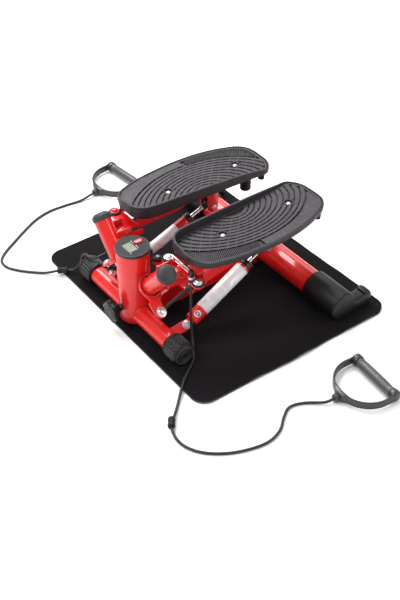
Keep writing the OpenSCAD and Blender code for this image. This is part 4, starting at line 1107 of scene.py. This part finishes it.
def pedal(sx):
    side = "left" if sx > 0 else "right"
    body = "arm_" + side
    flip = sx < 0                    # the far pedal's tread runs the other way along its length
    C = pedal_outline()
    P, H = C[:, :2], C[:, 2]
    n = len(P)
    wide = np.clip(H / 6.0, 0, 1)    # the raised wall is thicker than the plain rim
    hx = lambda: H

    def L(d, z):
        q = inset(P, d)
        zz = np.broadcast_to(np.asarray(z, float), (n,))
        return [(q[i, 0], q[i, 1], zz[i]) for i in range(n)]

    top = TOPZ + H
    rim = 3.6 + 1.6 * wide
    g = Geo()
    seq = [L(7, 203.4), L(5.4, 203.2), L(4.6, 202.4), L(4.4, 200.2), L(3.4, 199.6), L(1.8, 199.5), L(0.9, 200.2), L(0.5, 201.4), L(0.0, 205),
           L(0.0, 208.5), L(0.0, top - 2.2), L(0.35, top - 1.0), L(1.1, top - 0.25), L(2.0, top), L(rim - 1.2, top), L(rim - 0.4, top - 0.3), L(rim, top - 1.0),
           L(rim + 0.4, np.minimum(top - 2.0, top)), L(rim + 0.6, 209.4), L(rim + 0.9, FLOORZ + 0.6), L(rim + 1.8, FLOORZ), ]
    inner = [smooth_inset(P, 11), smooth_inset(P, 20), smooth_inset(P, 34)]
    seq += [[(x, y, FLOORZ) for x, y in q] for q in inner]
    vs = []
    # underside plate closes the shell from below
    rings(g, [[(x, y, 203.4) for x, y in inner[2]], [(x, y, 203.4) for x, y in inner[1]], [(x, y, 203.4) for x, y in inner[0]]] + seq, 0)
    shell = g

    # screw recesses are shown by a raised boss ring round a deep cup
    T = Geo()
    for (cx, cy) in SCREWS:
        lathe(T, [(12.2, FLOORZ - 0.2), (12.0, 209.6), (11.4, 210.4), (10.2, 210.6), (9.4, 210.5), (8.9, 210.0), (8.7, 208.6), (8.6, FLOORZ + 0.05),
                  (0, FLOORZ + 0.04)], 56, Tr(cx, cy, 0))

    band_in = smooth_inset(P, 9.5)
    clip = smooth_inset(P, 7.4)

    def ok(x, y, pad=0.0):
        if not point_in(clip, x, y):
            return False
        for (cx, cy) in SCREWS:
            if (x - cx) ** 2 + (y - cy) ** 2 < (10.6 + pad) ** 2:
                return False
        return True

    CX, CY = 25.0, 27.0
    fy = -1.0 if flip else 1.0
    topz = 210.5

    def on(a_, th, z):
        """A point on the ellipse whose half width is a_."""
        b_ = 53 + (a_ - 48) * 1.654
        return (CX + a_ * math.cos(th), CY + fy * b_ * math.sin(th), z)

    # ribs between the grooves. s = -1 at the dashed end of the tread and +1 at the other
    for k in range(len(A_AX) - 1):
        a0, a1 = A_AX[k], A_AX[k + 1]
        runs, cur = [], []
        step = 1.7 / B_AX[k + 1]
        for th in np.arange(-math.radians(118), math.radians(118), step):
            x, y, _ = on((a0 + a1) / 2, th, 0)
            if ok(x, y):
                cur.append(th)
            else:
                if len(cur) > 3:
                    runs.append(cur)
                cur = []
        if len(cur) > 3:
            runs.append(cur)
        for r_ in runs:
            loops = []
            m = len(r_)
            for i, th in enumerate(r_):
                s_ = math.sin(th)
                half = 1.10 - 0.30 * min(1, max(0, (s_ + 0.10) / 0.5))   # groove half width, wider in the dashed end
                zt = topz
                e = min(i, m - 1 - i)
                drop = 0.0 if e >= 2 else (1.6 if e == 0 else 0.25)
                xs = [(a0 + half, FLOORZ - 0.3), (a0 + half + 0.15, zt - 0.55 - drop), (a0 + half + 0.6, zt - drop), (a1 - half - 0.6, zt - drop),
                      (a1 - half - 0.15, zt - 0.55 - drop), (a1 - half, FLOORZ - 0.3)]
                loops.append([on(a_, th, z) for a_, z in xs])
            if flip:
                loops = [lp[::-1] for lp in loops]
            rings(T, loops, 0)
    # bridges across the grooves: brick pattern in one half, small studs in the other
    for k in range(1, len(A_AX)):
        a_ = A_AX[k]
        b_ = B_AX[k]
        # arc length parameter
        ths = np.linspace(-math.radians(115), math.radians(115), 900)
        pts = np.array([on(a_, t, 0)[:2] for t in ths])
        sl = np.concatenate([[0], np.cumsum(np.linalg.norm(np.diff(pts, axis=0), axis=1))])
        mid = sl[len(sl) // 2]
        pitch = 19.0
        off = (k * 0.382 % 1.0) * pitch
        j = -40
        while j < 40:
            s_at = mid + 6 - off + j * pitch
            j += 1
            if s_at < 4 or s_at > sl[-1] - 4:
                continue
            th = float(np.interp(s_at, sl, ths))
            front = th < math.radians(8)
            if not front and (k + j) % 3:
                continue
            x, y, _ = on(a_, th, 0)
            if not ok(x, y, 1.0):
                continue
            if not front:
                lathe(T, [(1.7, topz - 1.0), (1.6, topz + 0.1), (1.1, topz + 0.55), (0, topz + 0.7)], 12, Tr(x, y, 0))
                continue
            half = 1.5
            dth = 1.05 / max(1e-6, float(np.hypot(a_ * math.sin(th), b_ * math.cos(th))))
            lo_, hi_ = th - dth, th + dth
            lp = []
            for t in (lo_, lo_ + dth * 0.25, hi_ - dth * 0.25, hi_):
                zt = topz - (1.0 if t in (lo_, hi_) else 0.05)
                lp.append([on(a_ - half, t, FLOORZ - 0.3), on(a_ - half, t, zt), on(a_ + half, t, zt), on(a_ + half, t, FLOORZ - 0.3)])
            if flip:
                lp = [q[::-1] for q in lp]
            rings(T, lp, 0)
    # hatch band outside the ribbed field, at the dashed end
    a_out = A_AX[-1] + 2.2
    b_out = 53 + (a_out - 48) * 1.654
    ths = np.linspace(-math.radians(8), -math.radians(112), 700)
    pts = np.array([on(a_out, t, 0)[:2] for t in ths])
    sl = np.concatenate([[0], np.cumsum(np.linalg.norm(np.diff(pts, axis=0), axis=1))])
    for s_at in np.arange(1.0, sl[-1], 3.6):
        th = float(np.interp(s_at, sl, ths))
        p0 = np.array(on(a_out, th, 0)[:2])
        nrm = np.array([math.cos(th) / a_out, fy * math.sin(th) / b_out])
        nrm /= np.linalg.norm(nrm)
        d_ = 0.0
        while d_ < 60 and point_in(band_in, *(p0 + nrm * (d_ + 0.6))):
            d_ += 0.5
        if d_ < 2.5:
            continue
        p1 = p0 + nrm * (d_ + 0.6)
        w_ = np.array([-nrm[1], nrm[0]])
        v = []
        for z_, hw in ((FLOORZ - 0.3, 1.15), (topz - 0.7, 1.05), (topz - 0.2, 0.7)):
            for pp_, sg in ((p0, 1), (p1, 1), (p1, -1), (p0, -1)):
                v.append((*(pp_ + w_ * hw * sg), z_))
        T.add(v, [(0, 1, 5, 4), (1, 2, 6, 5), (2, 3, 7, 6), (3, 0, 4, 7), (4, 5, 9, 8), (5, 6, 10, 9), (6, 7, 11, 10), (7, 4, 8, 11), (8, 9, 10, 11), (3, 2, 1, 0)])
    # smooth raised field outside the ribs, at the other end
    loops = []
    for yy in np.arange(9.5, 204, 2.0):
        Y = yy if not flip else 2 * CY - yy
        q = (yy - CY) / b_out
        if abs(q) >= 1:
            break
        xs = CX + a_out * math.sqrt(1 - q * q)
        if not point_in(band_in, xs + 0.6, Y):
            continue
        xe = xs + 0.5
        while xe < 190 and point_in(band_in, xe + 0.5, Y):
            xe += 0.5
        if xe - xs < 0.8:
            continue
        loops.append([(xs, Y, FLOORZ - 0.3), (xs + 0.15, Y, topz - 0.5), (xs + 0.6, Y, topz), (xe + 1.2, Y, topz), (xe + 1.2, Y, FLOORZ - 0.3)])
    if len(loops) > 2:
        if flip:
            loops = loops[::-1]
        rings(T, loops, 0)
    ribs = T

    # margin band that runs round just inside the rim
    Mg = Geo()
    def LM(d, z):
        q = inset(P, d) if d < 8 else smooth_inset(P, d)
        return [(q[i, 0], q[i, 1], z) for i in range(n)]
    g2 = Geo()
    rings(g2, [LM(4.6, FLOORZ - 0.3), LM(4.6, 209.9), LM(5.4, 210.6), LM(6.6, 210.75), LM(8.2, 210.7), LM(9.2, 210.3), LM(9.6, 209.4), LM(9.8, FLOORZ - 0.3)], 0, close=True)

    # serrations inside the front wall
    S = Geo()
    for i in range(n):
        x, y = P[i]
        if y < -128 and H[i] > 3 and i % 3 == 0:
            q0 = inset(P, float(rim[i]) - 0.6)[i]
            q1 = inset(P, float(rim[i]) + 1.1)[i]
            t_ = P[(i + 1) % n] - P[i - 1]
            t_ = t_ / np.linalg.norm(t_) * 0.9
            zt = TOPZ + H[i] - 1.8
            v = [(*(q0 - t_), FLOORZ), (*(q0 + t_), FLOORZ), (*(q1 + 0.4 * t_), FLOORZ), (*(q1 - 0.4 * t_), FLOORZ),
                 (*(q0 - t_), zt), (*(q0 + t_), zt), (*(q1 + 0.4 * t_), zt - 0.8), (*(q1 - 0.4 * t_), zt - 0.8)]
            S.add(v, [(3, 2, 1, 0), (4, 5, 6, 7), (0, 1, 5, 4), (1, 2, 6, 5), (2, 3, 7, 6), (3, 0, 4, 7)])

    # underside: bosses, lugs and a few stiffening ribs
    U = Geo()
    for (cx, cy) in SCREWS:
        lathe(U, [(0, 199.1), (11.4, 199.1), (12, 199.7), (12, 204.5), (0, 204.5)], 44, Tr(cx, cy, 0))
    lathe(U, [(4.05, 199.1), (12.4, 199.1), (13, 199.7), (13, 204.5), (4.05, 204.5)], 44, Tr(79, 163, 0), closed=True)
    for yb in (-95, -10, 50, 108, 176):
        xs = [x for x in np.arange(20, 190, 1.0) if point_in(clip, x, yb)]
        if xs:
            lo_x, hi_x = min(xs) + 0.5, max(xs) - 0.5
            box(U, lo_x, 80.5, yb - 1.1, yb + 1.1, 199.6, 204.0)
            box(U, 153.5, hi_x, yb - 1.1, yb + 1.1, 199.6, 204.0)

    F = Geo()
    for cx, cy in ((60, 191), (130, 190)):
        secs = []
        for z_, k_ in ((168, 0.62), (168.4, 0.70), (169.6, 0.76), (178, 0.86), (190, 0.95), (204, 1.0)):
            secs.append([(cx + 10.0 * k_ * math.cos(q), cy + 10.0 * k_ * math.sin(q) + (1 - k_) * 9, z_) for q in np.linspace(0, 2 * math.pi, 32, endpoint=False)])
        rings(F, secs, 0)
    F.obj("pedal_%s_feet" % side, [M["rubber"]], body, mirror=sx < 0, angle=45)

    whole = Geo()
    for q in (shell, ribs, g2, S, U):
        whole.merge(q)
    o = whole.obj("pedal_%s_tread" % side, [M["tread"], M["pedal_body"]], body, ("pedal_" + side,), mirror=sx < 0, angle=38, fix=True)
    # walls and groove floors get a darker copy of the tread plastic than the tops: painted shade
    me = o.data
    nf = len(me.polygons)
    nor, cen = np.zeros(nf * 3), np.zeros(nf * 3)
    me.polygons.foreach_get("normal", nor)
    me.polygons.foreach_get("center", cen)
    painted_shade_faces = (nor[2::3] < 0.6) | (cen[2::3] * 1000 < FLOORZ + 0.4)
    me.polygons.foreach_set("material_index", painted_shade_faces.astype(np.int32))
    me.update()

    # a black ring on the floor of each screw cup: painted shade that darkens the recess
    recess_shade_ring = Geo()
    g = Geo()
    for (cx, cy) in SCREWS:
        panhead(g, Tr(cx, cy, 205.5), 5.3, 3.3)
        lathe(recess_shade_ring, [(4.9, FLOORZ - 0.1), (8.5, FLOORZ - 0.1), (8.5, FLOORZ + 0.2), (4.9, FLOORZ + 0.2)], 40, Tr(cx, cy, 0), closed=True)
    lathe_z = [(0, 188), (3, 188), (3, 199.2), (0, 199.2)]
    for (cx, cy) in SCREWS:
        lathe(g, lathe_z, 24, Tr(cx, cy, 0))
        hexhead(g, Tr(cx, cy, 196.4) @ Rot("X", 180), 5.6, 4.6)
    recess_shade_ring.obj("pedal_%s_recess" % side, [M["black"]], body, mirror=sx < 0, angle=35)
    g.obj("pedal_screws_%s_skin" % side, [M["zinc"]], body, ("pedal_screws_" + side,), mirror=sx < 0, angle=35)


pedal(1); pedal(-1)

# ------------------------------------------------------------------ hydraulic cylinders
BL = 178.0
def cylinder(sx):
    side = "left" if sx > 0 else "right"
    mir = sx < 0
    CRR = 15.5 if sx > 0 else 12.5
    g = Geo()
    lathe(g, [(0, 14.6), (CRR - 3.6, 14.6), (CRR - 1.4, 15.4), (CRR - 0.3, 17), (CRR, 19.4), (CRR, 60), (CRR, 120), (CRR, 177), (CRR - 0.6, 178), (CRR - 2.6, 178), (CRR - 2.6, 170)], 72, ON_CYL)
    BX = ON_CYL @ Rot("Y", 90)
    lathe(g, [(5.1, -6), (10, -6), (11, -5.2), (11, 5.2), (10, 6), (5.1, 6)], 48, BX, closed=True)
    sec_ = rrect(12, 16, 2.5, 5)
    rings(g, [[(x, y, z) for x, y in sec_] for z in (4, 17.5)], 0, ON_CYL)
    bead(g, ring_path(ON_CYL, 9.6, 15.0, 60), 1.5)
    g.obj("cylinder_%s_barrel" % side, [M["red"]], "cylinder_" + side, ("cylinder_" + side,), mirror=mir, angle=50)
    # silver label wrapped round the barrel, with plain border lines, and a small round sticker
    LB0, LB1 = (48.0, 172.0) if sx > 0 else (44.0, 150.0)
    g = Geo()
    lathe(g, [(CRR + 0.02, LB0), (CRR + 0.16, LB0 + 0.1), (CRR + 0.16, LB1 - 0.1), (CRR + 0.02, LB1)], 72, ON_CYL)
    g.obj("cylinder_label_" + side, [M["label"]], "cylinder_" + side, mirror=mir, angle=60)
    g = Geo()

    def patch(z0, z1, a0, a1, r=CRR + 0.2, seg=10):
        loops = []
        for q in np.linspace(a0, a1, seg):
            c_, s_ = math.cos(math.radians(q)), math.sin(math.radians(q))
            loops.append([(r * c_, r * s_, z0), (r * c_, r * s_, z1), ((r - 0.25) * c_, (r - 0.25) * s_, z1), ((r - 0.25) * c_, (r - 0.25) * s_, z0)])
        rings(g, loops, 0, ON_CYL)
    for z_ in (LB0 + 2.0, LB1 - 3.0):
        patch(z_, z_ + 0.8, -180, 180, seg=60)
    for q in (-40, 80, 200):
        patch(LB0 + 9, LB0 + 20, q + 2, q + 20)
        for kk in range(9):
            aq = q + 2 + kk * 10
            end_ = LB1 - (12, 30, 22, 44, 18, 36, 14, 50, 26)[kk]
            for z0_ in np.arange(LB0 + 26, end_ - 8, 19.0):
                patch(z0_, min(end_, z0_ + 15.5), aq, aq + 2.6, seg=3)
    g.obj("cylinder_label_print_" + side, [M["print"]], "cylinder_" + side, mirror=mir)
    g = Geo()
    # sticker: a thin disc bent to the barrel, facing the near side
    for rad, mi_, rr in ((7.4, 0, CRR + 0.16), (4.6, 1, CRR + 0.3), (2.6, 0, CRR + 0.42), (1.2, 1, CRR + 0.54)):
        v, f = [], []
        ang0 = 2.0 if sx > 0 else -70.0
        for k in range(28):
            t = 2 * math.pi * k / 28
            z = 32 + rad * math.sin(t); u_ = rad * math.cos(t) / rr
            v.append((rr * math.cos(math.radians(ang0) + u_), rr * math.sin(math.radians(ang0) + u_), z))
        cc = len(v)
        v.append((rr * math.cos(math.radians(ang0)), rr * math.sin(math.radians(ang0)), 32))
        for k in range(28):
            f.append((cc, k, (k + 1) % 28))
        g.add(v, f, mi_, ON_CYL)
    g.obj("cylinder_sticker_" + side, [M["white"], M["blue"]], "cylinder_" + side, mirror=mir, fix=False)

    g = Geo()
    K = CRR - 13.0
    lathe(g, [(5.05, 168.2), (10.4 + K, 168.2), (10.4 + K, 178), (13.2 + K, 178), (13.8 + K, 178.4), (14 + K, 179.2), (14 + K, 183.2), (13.4 + K, 184), (13.4 + K, 185.2), (14 + K, 186), (14 + K, 189), (13.6 + K, 190.2), (12.6 + K, 191), (7.4, 191),
              (7.0, 190.2), (5.05, 190.2)], 64, ON_CYL, closed=True)
    g.obj("cylinder_gland_%s_skin" % side, [M["black"]], "cylinder_" + side, ("cylinder_gland_" + side,), mirror=mir, angle=45)
    g = Geo()
    lathe(g, [(0, 63), (CRR - 2.8, 63), (CRR - 2.8, 73), (5, 73), (5, 110), (5, 180), (5, CYL_LEN - 10), (0, CYL_LEN - 10)], 44, ON_CYL)
    g.obj("piston_rod_%s_skin" % side, [M["chrome"]], "rod_" + side, ("piston_rod_" + side,), mirror=mir)
    g = Geo()
    E = Tr(*Q0) @ ALONG_X
    lathe(g, [(6.6, -6), (11, -6), (12, -5), (12, 5), (11, 6), (6.6, 6)], 52, E, closed=True)
    lathe(g, [(0, CYL_LEN - 17), (6.6, CYL_LEN - 17), (7.5, CYL_LEN - 16.2), (7.5, CYL_LEN - 9), (0, CYL_LEN - 9)], 40, ON_CYL)
    g.obj("rod_end_%s_skin" % side, [M["black"]], "rod_" + side, ("rod_end_" + side,), mirror=mir, angle=50)


cylinder(1); cylinder(-1)

# ------------------------------------------------------------------ D-handles
HY = 97.0
def handle(sx):
    side = "left" if sx > 0 else "right"
    mir = sx < 0
    HT = Tr(443, -22, 0) @ Rot("Z", -5.5)
    g = Geo()
    # the band: a rounded strip that follows a half circle and two short straight sides
    path = [(-63.75, y) for y in np.linspace(100.5, 74, 8)] + \
           [(63.75 * math.cos(q), 72 + 63.75 * math.sin(q)) for q in np.linspace(math.pi, 2 * math.pi, 64)] + \
           [(63.75, y) for y in np.linspace(74, 100.5, 8)]
    path = np.array(path)
    tt = np.gradient(path, axis=0)
    tt /= np.linalg.norm(tt, axis=1)[:, None]
    nn = np.stack([tt[:, 1], -tt[:, 0]], 1)
    sec_ = rrect(4.5, 18, 2.0, 5)
    loops = []
    for i in range(len(path)):
        loops.append([(path[i, 0] + nn[i, 0] * sx_, path[i, 1] + nn[i, 1] * sx_, 12 + sz_) for sx_, sz_ in sec_])
    rings(g, loops, 0, HT)
    # the yoke that flares into the band, with the collar that takes the cord
    yo = [(-30, 17.6), (-26, 13.2), (-20, 9.4), (-12.5, 3.0), (-10.5, 2.2), (10.5, 2.2), (12.5, 3.0), (20, 9.4), (26, 13.2), (30, 17.6), (22, 14.9), (12, 13.6), (0, 13.2), (-12, 13.6), (-22, 14.9)]
    prism(g, yo, 3, 21, 1.5, 0, HT)
    CT = HT @ Tr(0, 0, 9) @ Rot("X", -90)
    lathe(g, [(3.2, -8.2), (5.6, -8.2), (7.4, -7.6), (8.3, -6.4), (8.5, -5), (8.5, 6), (7.6, 8), (3.2, 8)], 48, CT, closed=True)
    # rounded end lobes
    for s_ in (1, -1):
        X = HT @ Tr(0, HY, 13) @ (ALONG_X if s_ > 0 else ALONG_X @ Rot("X", 180))
        lathe(g, [(0, 51), (11.4, 51), (12.5, 51.5), (13, 52.8), (13, 61.4), (12.6, 63.6), (11.4, 65.1), (9.4, 66), (0, 66.2)], 56, X)
    g.obj("handle_frame_" + side, [M["handle"]], "root", ("handle_frames",), mirror=mir, angle=40)
    g = Geo()
    X = HT @ Tr(0, HY, 13) @ ALONG_X
    lathe(g, [(4.1, -50.6), (10.4, -50.6), (11.3, -49.8), (11.5, -48.6), (11.5, -47), (10.9, -46), (10.6, -44.5), (11.2, -32), (11.5, -16), (11.5, 16), (11.2, 32), (10.6, 44.5), (10.9, 46), (11.5, 47),
              (11.5, 48.6), (11.3, 49.8), (10.4, 50.6), (4.1, 50.6)], 64, X, closed=True)
    g.obj("handle_grip_%s_skin" % side, [M["grip"]], "grip_" + side, ("handle_grip_" + side,), mirror=mir, angle=40)


handle(1); handle(-1)

# ------------------------------------------------------------------ studio
floor_me = bpy.data.meshes.new("studio_floor")
S_ = 6.0
vv, ff = [], []
prof_ = [(-S_, 0)] + [(3.2 + 1.2 * math.sin(q), 1.2 - 1.2 * math.cos(q)) for q in np.linspace(0, math.pi / 2, 10)] + [(4.4, 4.0)]
dirx = Vector((-math.sin(az), math.cos(az), 0))
perp = Vector((dirx.y, -dirx.x, 0))
for d_, z_ in prof_:
    for w_ in (-7, 7):
        p = dirx * d_ + perp * w_
        vv.append((p.x, p.y, z_ - 0.0001))
for i in range(len(prof_) - 1):
    ff.append((2 * i, 2 * i + 1, 2 * i + 3, 2 * i + 2))
floor_me.from_pydata(vv, [], ff)
for p in floor_me.polygons:
    p.use_smooth = True
floor = bpy.data.objects.new("studio_floor", floor_me)
scene.collection.objects.link(floor)
fm = bpy.data.materials.new("studio_white")
fm.use_nodes = True
fb = fm.node_tree.nodes["Principled BSDF"]
fb.inputs["Base Color"].default_value = (0.90, 0.90, 0.90, 1)
fb.inputs["Roughness"].default_value = 0.75
fb.inputs["Specular IOR Level"].default_value = 0.15
floor_me.materials.append(fm)


def area(name, loc, target, size, power, size_y=None, color=(1, 1, 1)):
    d = bpy.data.lights.new(name, "AREA")
    d.energy = power
    d.shape = "RECTANGLE"
    d.size = size
    d.size_y = size_y or size
    d.color = color
    o = bpy.data.objects.new(name, d)
    scene.collection.objects.link(o)
    o.location = loc
    o.rotation_mode = "QUATERNION"
    o.rotation_quaternion = (Vector(target) - Vector(loc)).to_track_quat("-Z", "Y")
    return o


area("key", (-0.2, -1.6, 2.1), (0, 0, 0.05), 0.9, 28, 0.9)
area("overhead", (0.3, 0.6, 2.6), (0, 0, 0.0), 2.0, 8, 1.6)
area("fill", (2.1, 1.35, 1.3), (0, 0, 0.12), 0.6, 18, 1.7)
area("rim", (-1.7, 1.8, 1.5), (0, 0, 0.1), 1.2, 10, 1.2)
area("softbox", (-1.35, 0.15, 1.95), (0.1, -0.1, 0.08), 1.5, 60, 0.95)
w = bpy.data.worlds.new("studio")
scene.world = w
w.use_nodes = True
w.node_tree.nodes["Background"].inputs["Color"].default_value = (1, 1, 1, 1)
w.node_tree.nodes["Background"].inputs["Strength"].default_value = 0.52
